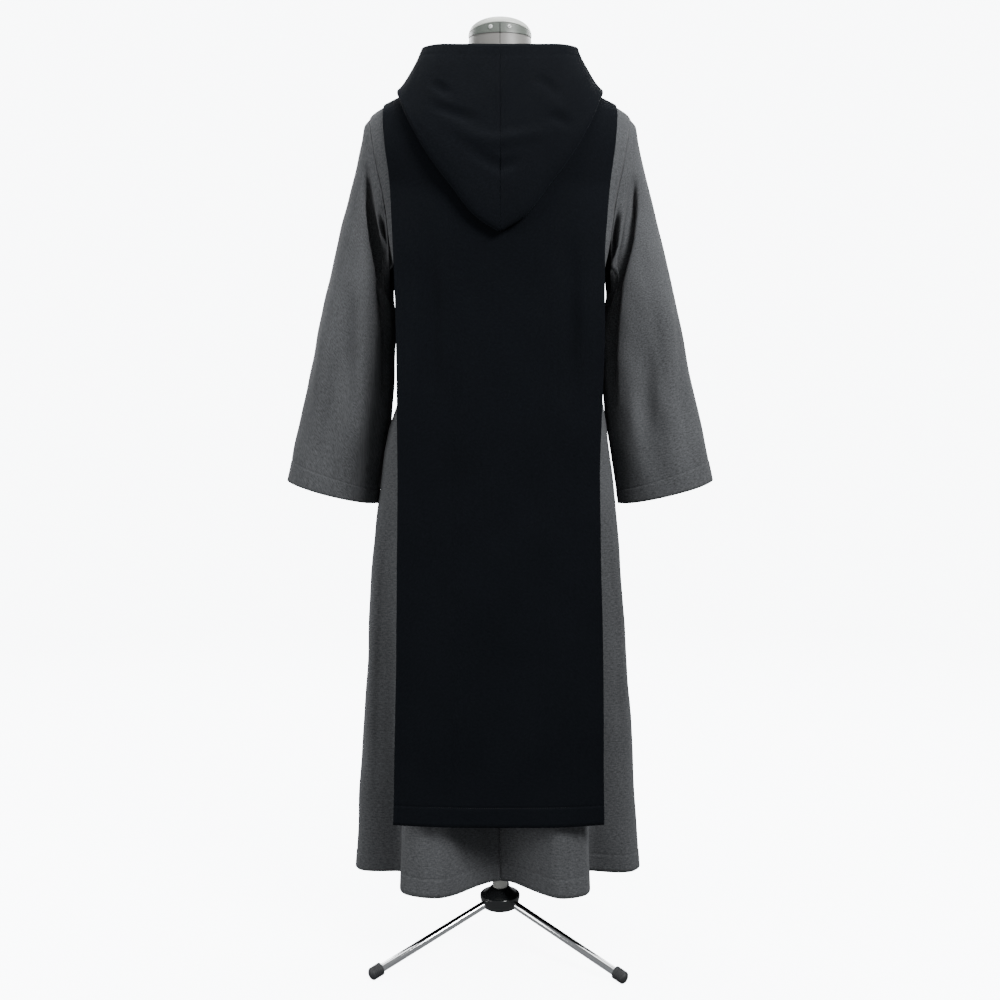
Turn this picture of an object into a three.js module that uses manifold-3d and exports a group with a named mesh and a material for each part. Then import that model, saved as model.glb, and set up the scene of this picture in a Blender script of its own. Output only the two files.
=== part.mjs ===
// A monk's habit on a dress form: a tunic with wide sleeves, a scapular with its hood lying down on the back,
// and the limbless form on its tripod stand that the cloth rests on.
// Millimetres, +Z up, the front of the habit faces -Y, the wearer's left is +X.
import * as THREE from "three";
import { mergeVertices } from "three/addons/utils/BufferGeometryUtils.js";
import Module from "manifold-3d";

const wasm = await Module();
wasm.setup();

// Cloth
const TUNIC_WALL = 2.2;
const SCAPULAR_WALL = 1.8;
const HOOD_WALL = 1.8;
const SEAM_GAP = 0.36; // clear space between two panels at a seam
const LAYER_GAP = 1.6; // clear space between two layers that lie on each other
const HEM_Z = 131;
const UNDERARM_Z = 1185;
const SHOULDER_TIP_Z = 1496;
const NECK_Z = 1566;

// Stand
const STAND_Y = 53; // the pole stands this far behind the middle of the whole
const POLE_R = 13.5;
const HUB_TOP_Z = 94;
const HUB_BOTTOM_Z = 70;
const HUB_R = 36.6;
const LEG_R = 7;
const FOOT_R = 11.2;
const FOOT_LENGTH = 25;
const FOOT_REACH = 244; // from the pole to the middle of a foot
const FOOT_Z = 11; // height of a foot's middle over the floor
const LEG_START = [20, 84]; // reach and height of a leg's inner end
const FORM_BOTTOM_Z = 800;
const NECK_R = 58;
const NECK_TOP_Z = 1651;
const CAP_TOP_Z = 1661;
const FIT = 0.3; // clear space round a piece in its socket

// The tunic's outer surface, a row for each level of its side:
// half-widths left and right, how far back and front reach, where the side lies, heights at centre back
// and centre front, and how square the ring is.
const TUNIC = [
  { level: 131, left: 263, right: 253, back: 108, front: -192, side: -72, backZ: 131, frontZ: 131, square: 2.1 },
  { level: 180, left: 260, right: 251, back: 108, front: -186, side: -68, backZ: 180, frontZ: 180, square: 2.1 },
  { level: 281, left: 256, right: 246, back: 108, front: -174, side: -60, backZ: 281, frontZ: 281, square: 2.1 },
  { level: 400, left: 251, right: 240, back: 107, front: -162, side: -50, backZ: 400, frontZ: 400, square: 2.1 },
  { level: 520, left: 246, right: 233, back: 106, front: -152, side: -41, backZ: 520, frontZ: 520, square: 2.15 },
  { level: 640, left: 239, right: 227, back: 105, front: -143, side: -31, backZ: 640, frontZ: 640, square: 2.2 },
  { level: 750, left: 229, right: 218, back: 104, front: -135, side: -21, backZ: 750, frontZ: 750, square: 2.2 },
  { level: 850, left: 217, right: 201, back: 104, front: -129, side: -12, backZ: 850, frontZ: 850, square: 2.3 },
  { level: 930, left: 203, right: 192, back: 103, front: -126, side: -5, backZ: 930, frontZ: 930, square: 2.3 },
  { level: 1010, left: 181, right: 184, back: 104, front: -125, side: 0, backZ: 1010, frontZ: 1010, square: 2.35 },
  { level: 1100, left: 180, right: 180, back: 109, front: -126, side: 0, backZ: 1100, frontZ: 1100, square: 2.4 },
  { level: 1185, left: 195, right: 195, back: 115, front: -128, side: 0, backZ: 1185, frontZ: 1185, square: 2.4 },
  { level: 1250, left: 209, right: 209, back: 119, front: -129, side: 0, backZ: 1249, frontZ: 1247, square: 2.4 },
  { level: 1306, left: 220, right: 220, back: 122, front: -129, side: 0, backZ: 1303, frontZ: 1298, square: 2.4 },
  { level: 1350, left: 231, right: 231, back: 123.5, front: -128, side: 0, backZ: 1343, frontZ: 1334, square: 2.4 },
  { level: 1391, left: 240, right: 240, back: 124, front: -127, side: 0, backZ: 1379, frontZ: 1366, square: 2.4 },
  { level: 1433, left: 245, right: 245, back: 122.5, front: -125, side: 0, backZ: 1413, frontZ: 1395, square: 2.4 },
  { level: 1467, left: 243, right: 243, back: 119.5, front: -121, side: 0, backZ: 1441, frontZ: 1418, square: 2.35 },
  { level: 1485, left: 237, right: 237, back: 116.5, front: -118, side: 0, backZ: 1458, frontZ: 1432, square: 2.3 },
  { level: 1496, left: 229, right: 229, back: 114, front: -115, side: 0, backZ: 1470, frontZ: 1441, square: 2.25 },
  { level: 1508, left: 213, right: 213, back: 109.5, front: -111, side: 0, backZ: 1486, frontZ: 1453, square: 2.2 },
  { level: 1526, left: 178, right: 178, back: 101.5, front: -105, side: 0, backZ: 1512, frontZ: 1470, square: 2.15 },
  { level: 1547, left: 130, right: 130, back: 89, front: -97, side: 0, backZ: 1544, frontZ: 1485, square: 2.1 },
  { level: 1566, left: 84, right: 84, back: 74, front: -88, side: 0, backZ: 1572, frontZ: 1497, square: 2.05 },
];

// Folds of the skirt, a row for each: where on the ring (degrees from the left side towards the back), half
// its width in degrees, how deep at the hem (minus is inwards), the level where it has run out, and how fast
// it grows.
const SKIRT_FOLDS = [
  { at: 90.5, half: 23, deep: -70, ends: 930, growth: 1.3 },
  { at: 60, half: 24, deep: 24, ends: 900, growth: 1.3 },
  { at: 36, half: 20, deep: -56, ends: 960, growth: 1.3 },
  { at: 11, half: 15, deep: 10, ends: 820, growth: 1.2 },
  { at: 117, half: 23, deep: 24, ends: 900, growth: 1.3 },
  { at: 141, half: 20, deep: -64, ends: 940, growth: 1.3 },
  { at: 168, half: 14, deep: 9, ends: 840, growth: 1.2 },
  { at: -20, half: 17, deep: -22, ends: 880, growth: 1.2 },
  { at: -46, half: 18, deep: 20, ends: 800, growth: 1.3 },
  { at: -69, half: 19, deep: -26, ends: 940, growth: 1.3 },
  { at: -97, half: 20, deep: 14, ends: 760, growth: 1.4 },
  { at: -121, half: 18, deep: -24, ends: 900, growth: 1.3 },
  { at: -143, half: 17, deep: 18, ends: 780, growth: 1.2 },
  { at: -164, half: 14, deep: -18, ends: 860, growth: 1.2 },
];

// The armhole seam: how far out it lies at each level.
const ARMHOLE = [
  { level: 1185, out: 195 },
  { level: 1250, out: 197 },
  { level: 1306, out: 200.5 },
  { level: 1350, out: 207 },
  { level: 1391, out: 216 },
  { level: 1433, out: 224 },
  { level: 1467, out: 229 },
  { level: 1496, out: 229 },
];

// A sleeve, a row for each ring from the armhole to the cuff: its outer and inner ends, where its middle lies
// front to back, half its depth, and how far its middle sags below its ends.
const SLEEVE = [
  { outX: 229, outZ: 1496, inX: 195, inZ: 1185, middle: 0, depth: 61, sag: 0 },
  { outX: 240, outZ: 1479, inX: 197, inZ: 1163, middle: -1, depth: 62, sag: 0 },
  { outX: 249, outZ: 1455, inX: 199, inZ: 1139, middle: -2, depth: 64, sag: 0 },
  { outX: 263, outZ: 1405, inX: 201, inZ: 1100, middle: -4, depth: 69, sag: 0 },
  { outX: 282, outZ: 1330, inX: 203, inZ: 1052, middle: -7, depth: 74, sag: 0 },
  { outX: 304, outZ: 1240, inX: 206, inZ: 1008, middle: -10, depth: 77, sag: 1 },
  { outX: 325, outZ: 1145, inX: 210, inZ: 966, middle: -14, depth: 77, sag: 2 },
  { outX: 345, outZ: 1050, inX: 216, inZ: 925, middle: -18, depth: 76, sag: 4 },
  { outX: 364, outZ: 970, inX: 223, inZ: 882, middle: -22, depth: 75, sag: 7 },
  { outX: 379, outZ: 905, inX: 228, inZ: 843, middle: -25, depth: 74, sag: 9 },
  { outX: 391, outZ: 849, inX: 231, inZ: 806, middle: -27, depth: 73, sag: 11 },
];

// How much nearer to the body each sleeve's inner edge hangs, from the elbow down.
const SLEEVE_CLOSER_LEFT = 5;
const SLEEVE_CLOSER_RIGHT = 13;

// Folds of each sleeve: on its back or front, the ring it lies at and how many rings it spans, how far across
// (0 at the underarm seam, 1 at the outer edge) and half its width, and how deep.
const SLEEVE_FOLDS_LEFT = [
  { face: 1, ring: 2.2, rings: 1.7, across: 0.42, width: 0.42, deep: -15 },
  { face: 1, ring: 7, rings: 3.2, across: 0.6, width: 0.17, deep: -7 },
  { face: 1, ring: 5.6, rings: 3.4, across: 0.84, width: 0.13, deep: 4 },
  { face: -1, ring: 2.4, rings: 1.8, across: 0.38, width: 0.38, deep: -12 },
  { face: -1, ring: 7.5, rings: 3, across: 0.55, width: 0.2, deep: -8 },
];
const SLEEVE_FOLDS_RIGHT = [
  { face: 1, ring: 2.1, rings: 1.6, across: 0.45, width: 0.42, deep: -14 },
  { face: 1, ring: 7.2, rings: 3.4, across: 0.42, width: 0.2, deep: -8 },
  { face: 1, ring: 5.2, rings: 3, across: 0.78, width: 0.15, deep: 4 },
  { face: -1, ring: 2.2, rings: 1.8, across: 0.4, width: 0.38, deep: -12 },
  { face: -1, ring: 7, rings: 3, across: 0.6, width: 0.18, deep: -7 },
];

// The scapular, a row for each level: half-widths left and right, and how far the middle and the edges of the
// back and of the front hang out where they no longer lie on the shoulders.
const SCAPULAR = [
  { level: 258, left: 181, right: 177, back: 135, backEdge: 119, front: -198, frontEdge: -168 },
  { level: 387, left: 179, right: 176, back: 132, backEdge: 120, front: -186, frontEdge: -156 },
  { level: 560, left: 176, right: 175, back: 130, backEdge: 120, front: -168, frontEdge: -138 },
  { level: 691, left: 175, right: 172, back: 129, backEdge: 119, front: -158, frontEdge: -128 },
  { level: 843, left: 174, right: 168, back: 128, backEdge: 118, front: -148, frontEdge: -118 },
  { level: 978, left: 175.5, right: 171, back: 128, backEdge: 116, front: -140, frontEdge: -108 },
  { level: 1079, left: 177.5, right: 174, back: 128, backEdge: 112, front: -136, frontEdge: -100 },
  { level: 1233, left: 183, right: 180, back: 129, backEdge: 104, front: -136, frontEdge: -101 },
  { level: 1302, left: 187, right: 185, back: 130, backEdge: 97, front: -136, frontEdge: -95 },
  { level: 1373, left: 191.5, right: 191.5, back: 129, backEdge: 84, front: -134, frontEdge: -86 },
  { level: 1440, left: 199, right: 199, back: 100, backEdge: 40, front: -100, frontEdge: -40 },
  { level: 1511, left: 204, right: 204, back: 80, backEdge: 0, front: -80, frontEdge: 0 },
  { level: 1566, left: 204, right: 204, back: 70, backEdge: 0, front: -70, frontEdge: 0 },
];

// Soft troughs down the scapular: which side, where across (minus is right), half its width, how deep, and
// the levels it runs between.
const SCAPULAR_TROUGHS = [
  { side: 1, x: 118, half: 30, deep: 8, top: 1330, bottom: 860 },
  { side: 1, x: -120, half: 28, deep: 7, top: 1330, bottom: 900 },
  { side: 1, x: 10, half: 60, deep: 5, top: 760, bottom: 240 },
  { side: -1, x: 96, half: 30, deep: 7, top: 1250, bottom: 620 },
  { side: -1, x: -84, half: 34, deep: 8, top: 1200, bottom: 480 },
];

// Half of the hood, a row for each place round the neck from centre back to centre front: where the fold
// lies, where the face edge stands, how far the outer layer puffs out, and the radius of the fold.
const HOOD = [
  { turn: 0, foldX: 0, foldZ: 1266, rimX: 0, rimY: 100, rimZ: 1592, puff: 10, roll: 6 },
  { turn: 0.09, foldX: 36, foldZ: 1290, rimX: 34, rimY: 99.5, rimZ: 1592.5, puff: 11, roll: 6 },
  { turn: 0.18, foldX: 78, foldZ: 1345, rimX: 66, rimY: 96, rimZ: 1594, puff: 11, roll: 6 },
  { turn: 0.27, foldX: 114, foldZ: 1394, rimX: 96, rimY: 88, rimZ: 1598, puff: 9, roll: 5.5 },
  { turn: 0.36, foldX: 143, foldZ: 1443, rimX: 122, rimY: 70, rimZ: 1604, puff: 6, roll: 4.5 },
  { turn: 0.43, foldX: 163, foldZ: 1486, rimX: 136, rimY: 48, rimZ: 1606, puff: 1, roll: 3.6 },
  { turn: 0.5, foldX: 173, foldZ: 1517, rimX: 140, rimY: 26, rimZ: 1603, puff: -2, roll: 3.4 },
  { turn: 0.53, foldX: 173, foldZ: 1525.8, rimX: 140, rimY: 14, rimZ: 1600, puff: -3, roll: 3.4 },
  { turn: 0.56, foldX: 172, foldZ: 1529, rimX: 140, rimY: 3, rimZ: 1597, puff: -3, roll: 3.4 },
  { turn: 0.59, foldX: 170, foldZ: 1526, rimX: 139, rimY: -8, rimZ: 1593, puff: -1, roll: 3.6 },
  { turn: 0.63, foldX: 166, foldZ: 1516, rimX: 136, rimY: -22, rimZ: 1587, puff: 2, roll: 4 },
  { turn: 0.7, foldX: 153, foldZ: 1492, rimX: 126, rimY: -48, rimZ: 1573, puff: 6, roll: 5 },
  { turn: 0.78, foldX: 128, foldZ: 1466, rimX: 104, rimY: -78, rimZ: 1551, puff: 9, roll: 5.5 },
  { turn: 0.87, foldX: 90, foldZ: 1444, rimX: 70, rimY: -104, rimZ: 1527, puff: 9, roll: 5.5 },
  { turn: 0.94, foldX: 44, foldZ: 1440, rimX: 34, rimY: -117, rimZ: 1512, puff: 7, roll: 5 },
  { turn: 1, foldX: 5, foldZ: 1452, rimX: 2, rimY: -120, rimZ: 1505, puff: 5, roll: 4.5 },
];

// The dress form, a row for each ring from its base to the top of its neck.
const FORM = [
  { z: 800, half: 140, back: 80, front: -86, backZ: 800, frontZ: 800, square: 2.2 },
  { z: 812, half: 149, back: 87, front: -93, backZ: 812, frontZ: 812, square: 2.2 },
  { z: 880, half: 156, back: 92, front: -98, backZ: 880, frontZ: 880, square: 2.2 },
  { z: 970, half: 149, back: 92, front: -98, backZ: 970, frontZ: 970, square: 2.2 },
  { z: 1070, half: 136, back: 88, front: -96, backZ: 1070, frontZ: 1070, square: 2.2 },
  { z: 1170, half: 146, back: 98, front: -106, backZ: 1170, frontZ: 1170, square: 2.2 },
  { z: 1280, half: 160, back: 111, front: -118, backZ: 1278, frontZ: 1276, square: 2.3 },
  { z: 1370, half: 169, back: 116, front: -120, backZ: 1362, frontZ: 1350, square: 2.3 },
  { z: 1440, half: 180, back: 115, front: -116, backZ: 1422, frontZ: 1402, square: 2.3 },
  { z: 1485, half: 190, back: 110, front: -111, backZ: 1462, frontZ: 1432, square: 2.3 },
  { z: 1505, half: 188, back: 104, front: -106, backZ: 1486, frontZ: 1450, square: 2.25 },
  { z: 1526, half: 171, back: 95, front: -99, backZ: 1512, frontZ: 1469, square: 2.15 },
  { z: 1547, half: 123, back: 83, front: -90, backZ: 1543, frontZ: 1485, square: 2.1 },
  { z: 1564, half: 80, back: 68, front: -79, backZ: 1568, frontZ: 1504, square: 2.05 },
  { z: 1582, half: 64, back: 60, front: -66, backZ: 1584, frontZ: 1545, square: 2 },
  { z: 1604, half: 59, back: 58, front: -60, backZ: 1604, frontZ: 1590, square: 2 },
  { z: 1628, half: 58, back: 58, front: -58, backZ: 1628, frontZ: 1628, square: 2 },
  { z: 1651, half: 56, back: 56, front: -56, backZ: 1651, frontZ: 1651, square: 2 },
];

const RADIANS = Math.PI / 180;
const clamp = (x, low, high) => Math.min(high, Math.max(low, x));
const mix = (a, b, t) => a + (b - a) * t;
const soft = (t) => {
  const s = clamp(t, 0, 1);
  return s * s * (3 - 2 * s);
};
const bump = (t) => (Math.abs(t) < 1 ? Math.cos((t * Math.PI) / 2) ** 2 : 0);

// A smooth curve down one column of a table, with no overshoot between its rows.
function column(rows, key, name) {
  const x = rows.map((row) => row[key]);
  const y = rows.map((row) => row[name]);
  const rise = x.slice(1).map((_, i) => (y[i + 1] - y[i]) / (x[i + 1] - x[i]));
  const slope = x.map((_, i) => {
    if (i === 0) return rise[0];
    if (i === x.length - 1) return rise[i - 1];
    return rise[i - 1] * rise[i] <= 0 ? 0 : (2 * rise[i - 1] * rise[i]) / (rise[i - 1] + rise[i]);
  });
  return (at) => {
    const v = clamp(at, x[0], x[x.length - 1]);
    let i = 0;
    while (i < x.length - 2 && v > x[i + 1]) i++;
    const h = x[i + 1] - x[i];
    const t = (v - x[i]) / h;
    const a = y[i] * (1 + 2 * t) * (1 - t) ** 2 + slope[i] * h * t * (1 - t) ** 2;
    return a + y[i + 1] * t * t * (3 - 2 * t) + slope[i + 1] * h * t * t * (t - 1);
  };
}

// All the columns of a table as curves.
function curves(rows, key) {
  const names = Object.keys(rows[0]).filter((name) => name !== key);
  return Object.fromEntries(names.map((name) => [name, column(rows, key, name)]));
}

const tunic = curves(TUNIC, "level");
const armhole = curves(ARMHOLE, "level");
const sleeveRings = SLEEVE.map((row, ring) => ({ ...row, ring }));
const sleeveAt = curves(sleeveRings, "ring");
const scapularAt = curves(SCAPULAR, "level");
const hoodAt = curves(HOOD, "turn");
const form = curves(FORM, "z");

// A point of a squared ring: angle 0 is the left side, 90 degrees the back.
function ringPoint(ring, level, angle, z) {
  const c = Math.cos(angle);
  const s = Math.sin(angle);
  const power = 2 / ring.square(level);
  const wide = c > 0 ? ring.left(level) : ring.right(level);
  const deep = s > 0 ? ring.back(level) - ring.side(level) : ring.side(level) - ring.front(level);
  const end = s > 0 ? ring.backZ(level) : ring.frontZ(level);
  return new THREE.Vector3(
    Math.sign(c) * wide * Math.abs(c) ** power,
    ring.side(level) + Math.sign(s) * deep * Math.abs(s) ** power,
    z + (end - z) * s * s,
  );
}

// The tunic's outer surface.
function tunicBase(angle, level) {
  return ringPoint(tunic, level, angle, level);
}

function skirtFold(angle, level) {
  const degrees = angle / RADIANS;
  let sum = 0;
  for (const fold of SKIRT_FOLDS) {
    if (level >= fold.ends) continue;
    const turn = ((degrees - fold.at + 540) % 360) - 180;
    const grown = ((fold.ends - level) / (fold.ends - HEM_Z)) ** fold.growth;
    sum += fold.deep * grown * bump(turn / fold.half);
  }
  return sum;
}

function tunicPoint(angle, level) {
  const p = tunicBase(angle, level);
  const fold = skirtFold(angle, level);
  if (!fold) return p;
  const before = tunicBase(angle - 0.02, level);
  const after = tunicBase(angle + 0.02, level);
  const out = new THREE.Vector3(after.y - before.y, before.x - after.x, 0).normalize();
  return p.addScaledVector(out, fold);
}

// The direction straight out of a surface that is a function of an angle and a level.
function outward(surface, angle, level, low, high) {
  const across = surface(angle + 0.004, level).sub(surface(angle - 0.004, level));
  const up = surface(angle, Math.min(level + 2, high)).sub(surface(angle, Math.max(level - 2, low)));
  return across.cross(up).normalize();
}

const tunicOut = (angle, level) => outward(tunicPoint, angle, level, HEM_Z, NECK_Z);

// A closed wall from a grid of points on one face and the direction of its thickness at each.
function wallSolid(points, inward, wall, closed = false) {
  const rows = points.length;
  const columns = points[0].length;
  const position = [];
  for (const layer of [0, 1])
    for (let i = 0; i < rows; i++)
      for (let j = 0; j < columns; j++)
        position.push(...points[i][j].clone().addScaledVector(inward[i][j], layer * wall).toArray());
  const index = [];
  const id = (layer, i, j) => layer * rows * columns + i * columns + (j % columns);
  const quad = (a, b, c, d) => index.push(a, b, c, a, c, d);
  const last = closed ? columns : columns - 1;
  for (let i = 0; i < rows - 1; i++)
    for (let j = 0; j < last; j++) {
      quad(id(0, i, j), id(0, i, j + 1), id(0, i + 1, j + 1), id(0, i + 1, j));
      quad(id(1, i, j), id(1, i + 1, j), id(1, i + 1, j + 1), id(1, i, j + 1));
    }
  for (let j = 0; j < last; j++) {
    quad(id(1, 0, j), id(1, 0, j + 1), id(0, 0, j + 1), id(0, 0, j));
    quad(id(0, rows - 1, j), id(0, rows - 1, j + 1), id(1, rows - 1, j + 1), id(1, rows - 1, j));
  }
  if (!closed)
    for (let i = 0; i < rows - 1; i++) {
      quad(id(0, i, 0), id(0, i + 1, 0), id(1, i + 1, 0), id(1, i, 0));
      const end = columns - 1;
      quad(id(1, i, end), id(1, i + 1, end), id(0, i + 1, end), id(0, i, end));
    }
  return facingOut(position, index);
}

// A closed solid from rings, with a fan over each end.
function loftSolid(rings) {
  const n = rings[0].length;
  const position = rings.flat().flatMap((p) => p.toArray());
  const index = [];
  for (let i = 0; i < rings.length - 1; i++)
    for (let j = 0; j < n; j++) {
      const k = (j + 1) % n;
      index.push(i * n + j, i * n + k, (i + 1) * n + k, i * n + j, (i + 1) * n + k, (i + 1) * n + j);
    }
  for (const [ring, flip] of [
    [0, true],
    [rings.length - 1, false],
  ]) {
    const middle = rings[ring].reduce((sum, p) => sum.add(p), new THREE.Vector3()).divideScalar(n);
    const centre = position.length / 3;
    position.push(...middle.toArray());
    for (let j = 0; j < n; j++) {
      const k = (j + 1) % n;
      if (flip) index.push(centre, ring * n + k, ring * n + j);
      else index.push(centre, ring * n + j, ring * n + k);
    }
  }
  return facingOut(position, index);
}

// A geometry from points and triangles, turned so that its faces point out.
function facingOut(position, index) {
  let volume = 0;
  const at = (i) => new THREE.Vector3().fromArray(position, 3 * i);
  for (let i = 0; i < index.length; i += 3)
    volume += at(index[i]).dot(at(index[i + 1]).cross(at(index[i + 2])));
  if (volume < 0) index.reverse();
  const geometry = new THREE.BufferGeometry();
  geometry.setAttribute("position", new THREE.Float32BufferAttribute(position, 3));
  geometry.setIndex(index);
  return geometry;
}

function manifoldOf(geometry) {
  const bare = geometry.clone();
  bare.deleteAttribute("normal");
  bare.deleteAttribute("uv");
  const merged = mergeVertices(bare, 1e-4);
  return new wasm.Manifold(
    new wasm.Mesh({
      numProp: 3,
      vertProperties: new Float32Array(merged.attributes.position.array),
      triVerts: new Uint32Array(merged.index.array),
    }),
  );
}

function geometryOf(solid) {
  const mesh = solid.getMesh();
  const geometry = new THREE.BufferGeometry();
  geometry.setAttribute("position", new THREE.BufferAttribute(mesh.vertProperties, 3));
  geometry.setIndex(new THREE.BufferAttribute(mesh.triVerts, 1));
  return geometry;
}

const habit = new THREE.Group();
habit.position.set(0, STAND_Y, 0);

const clothOf = (colour) => new THREE.MeshStandardMaterial({ color: colour, roughness: 0.95, metalness: 0 });

function addPiece(name, geometry, material) {
  geometry.computeVertexNormals();
  const mesh = new THREE.Mesh(geometry, material);
  mesh.name = name;
  habit.add(mesh);
  return mesh;
}

// ---- Tunic body ----

const ARMHOLE_STEPS = 10;
const armholeLevels = Array.from({ length: ARMHOLE_STEPS + 1 }, (_, i) =>
  mix(UNDERARM_Z, SHOULDER_TIP_Z, (1 - Math.cos((i * Math.PI) / ARMHOLE_STEPS)) / 2),
);
const SKIRT_LEVELS = [131, 200, 290, 390, 500, 610, 720, 820, 900, 970, 1040, 1110];
const SHOULDER_LEVELS = [1508, 1526, 1547, 1566];
const bodyLevels = [...SKIRT_LEVELS, ...armholeLevels, ...SHOULDER_LEVELS];

// The angle at which the armhole seam cuts a ring.
function armholeAngle(level) {
  if (level <= UNDERARM_Z || level >= SHOULDER_TIP_Z) return 0;
  const share = armhole.out(level) / tunic.left(level);
  return share >= 1 ? 0 : Math.acos(share ** (tunic.square(level) / 2));
}

// An angle moved on until the surface has gone on by half a seam's gap.
function pastSeam(angle, level, way) {
  const start = tunicPoint(angle, level);
  let low = 0;
  let high = 0.05;
  for (let i = 0; i < 40; i++) {
    const middle = (low + high) / 2;
    if (tunicPoint(angle + way * middle, level).distanceTo(start) < SEAM_GAP / 2) low = middle;
    else high = middle;
  }
  return angle + way * high;
}

function bodyPanel(edges, columns) {
  const points = [];
  const inward = [];
  for (const level of bodyLevels) {
    const [from, to] = edges(level);
    const line = [];
    const thick = [];
    for (let j = 0; j <= columns; j++) {
      const angle = mix(from, to, j / columns);
      line.push(tunicPoint(angle, level));
      thick.push(tunicOut(angle, level).negate());
    }
    points.push(line);
    inward.push(thick);
  }
  return wallSolid(points, inward, TUNIC_WALL);
}

const HALF_TURN = Math.PI;
const BACK = Math.PI / 2;
const BACK_COLUMNS = 15;
const FRONT_COLUMNS = 25;
const grey = "#55565a";

addPiece(
  "tunic_back_left",
  bodyPanel((level) => [
    pastSeam(armholeAngle(level), level, 1),
    pastSeam(BACK, level, -1),
  ], BACK_COLUMNS),
  clothOf(grey),
);
addPiece(
  "tunic_back_right",
  bodyPanel((level) => [
    pastSeam(BACK, level, 1),
    pastSeam(HALF_TURN - armholeAngle(level), level, -1),
  ], BACK_COLUMNS),
  clothOf(grey),
);
addPiece(
  "tunic_front",
  bodyPanel((level) => [
    pastSeam(-HALF_TURN + armholeAngle(level), level, 1),
    pastSeam(-armholeAngle(level), level, -1),
  ], FRONT_COLUMNS),
  clothOf(grey),
);

// ---- Sleeves ----

// A sleeve's ring: the underarm seam first, up its back to the outer edge, and down its front.
function sleeveRing(ring, folds, closer) {
  const at = sleeveAt;
  const inX = at.inX(ring) - closer * soft((ring - 2) / 5);
  const points = [];
  for (let j = 0; j < 2 * ARMHOLE_STEPS; j++) {
    const psi = (j * Math.PI) / ARMHOLE_STEPS;
    const across = (1 - Math.cos(psi)) / 2;
    const face = psi <= Math.PI ? 1 : -1;
    const swell = Math.abs(Math.sin(psi)) ** 0.86;
    let depth = at.depth(ring) * swell;
    for (const fold of folds)
      if (fold.face === face)
        depth += fold.deep * bump((ring - fold.ring) / fold.rings) * bump((across - fold.across) / fold.width);
    points.push(
      new THREE.Vector3(
        mix(inX, at.outX(ring), across),
        at.middle(ring) + face * depth,
        mix(at.inZ(ring), at.outZ(ring), across) - at.sag(ring) * swell,
      ),
    );
  }
  return points;
}

// The armhole seam as the sleeve's first ring, one seam's gap outside the body.
function armholeRing() {
  const points = [];
  for (let j = 0; j < 2 * ARMHOLE_STEPS; j++) {
    const step = j <= ARMHOLE_STEPS ? j : 2 * ARMHOLE_STEPS - j;
    const level = armholeLevels[step];
    const angle = armholeAngle(level) * (j <= ARMHOLE_STEPS ? 1 : -1);
    const p = tunicPoint(angle, level);
    p.x += SEAM_GAP;
    points.push(p);
  }
  return points;
}

const ARMHOLE_OUT = new THREE.Vector3(0.995, 0, -0.1);

function sleeveSolid(folds, closer, mirror) {
  const rings = [armholeRing()];
  for (let ring = 1; ring < SLEEVE.length; ring++) rings.push(sleeveRing(ring, folds, closer));
  const count = rings[0].length;
  const inward = rings.map((points, i) =>
    points.map((p, j) => {
      const round = points[(j + 1) % count].clone().sub(points[(j + count - 1) % count]);
      const next = rings[Math.min(i + 1, rings.length - 1)][j];
      const down = next.clone().sub(rings[Math.max(i - 1, 0)][j]);
      const centre = points.reduce((sum, q) => sum.add(q), new THREE.Vector3()).divideScalar(count);
      const way = round.cross(down).normalize();
      if (way.dot(centre.sub(p)) < 0) way.negate();
      if (i === 0) {
        const back = way.dot(ARMHOLE_OUT);
        if (back < 0) way.addScaledVector(ARMHOLE_OUT, -back).normalize();
      }
      return way;
    }),
  );
  const flip = (v) => new THREE.Vector3(-v.x, v.y, v.z);
  if (!mirror) return wallSolid(rings, inward, TUNIC_WALL, true);
  return wallSolid(
    rings.map((ring) => ring.map(flip)),
    inward.map((ring) => ring.map(flip)),
    TUNIC_WALL,
    true,
  );
}

addPiece("sleeve_left", sleeveSolid(SLEEVE_FOLDS_LEFT, SLEEVE_CLOSER_LEFT, false), clothOf(grey));
addPiece("sleeve_right", sleeveSolid(SLEEVE_FOLDS_RIGHT, SLEEVE_CLOSER_RIGHT, true), clothOf(grey));

// ---- Scapular ----

const black = "#15191e";
const SCAPULAR_RISE = LAYER_GAP + SCAPULAR_WALL; // its outer face over the tunic's
const SHOULDER_PUFF = 2.2; // how much more it stands off near the neck
const NECK_PUFF = 0.5; // and by how large a share again at the neckline
const SCAPULAR_NECK_DROP = 3; // how far down the shoulder its neckline lies below the tunic's

// The angle and level on the tunic that lie at a given distance across, on the back or the front.
function angleAt(x, level, face) {
  const wide = x > 0 ? tunic.left(level) : tunic.right(level);
  const share = clamp(Math.abs(x) / wide, 0, 1);
  const angle = Math.acos(share ** (tunic.square(level) / 2));
  return face * (x >= 0 ? angle : HALF_TURN - angle);
}

// The level of the shoulder's ridge at a distance across.
function ridgeLevel(x) {
  let low = SHOULDER_TIP_Z;
  let high = NECK_Z;
  for (let i = 0; i < 40; i++) {
    const middle = (low + high) / 2;
    if (tunic.left(middle) > Math.abs(x)) low = middle;
    else high = middle;
  }
  return low;
}

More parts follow.
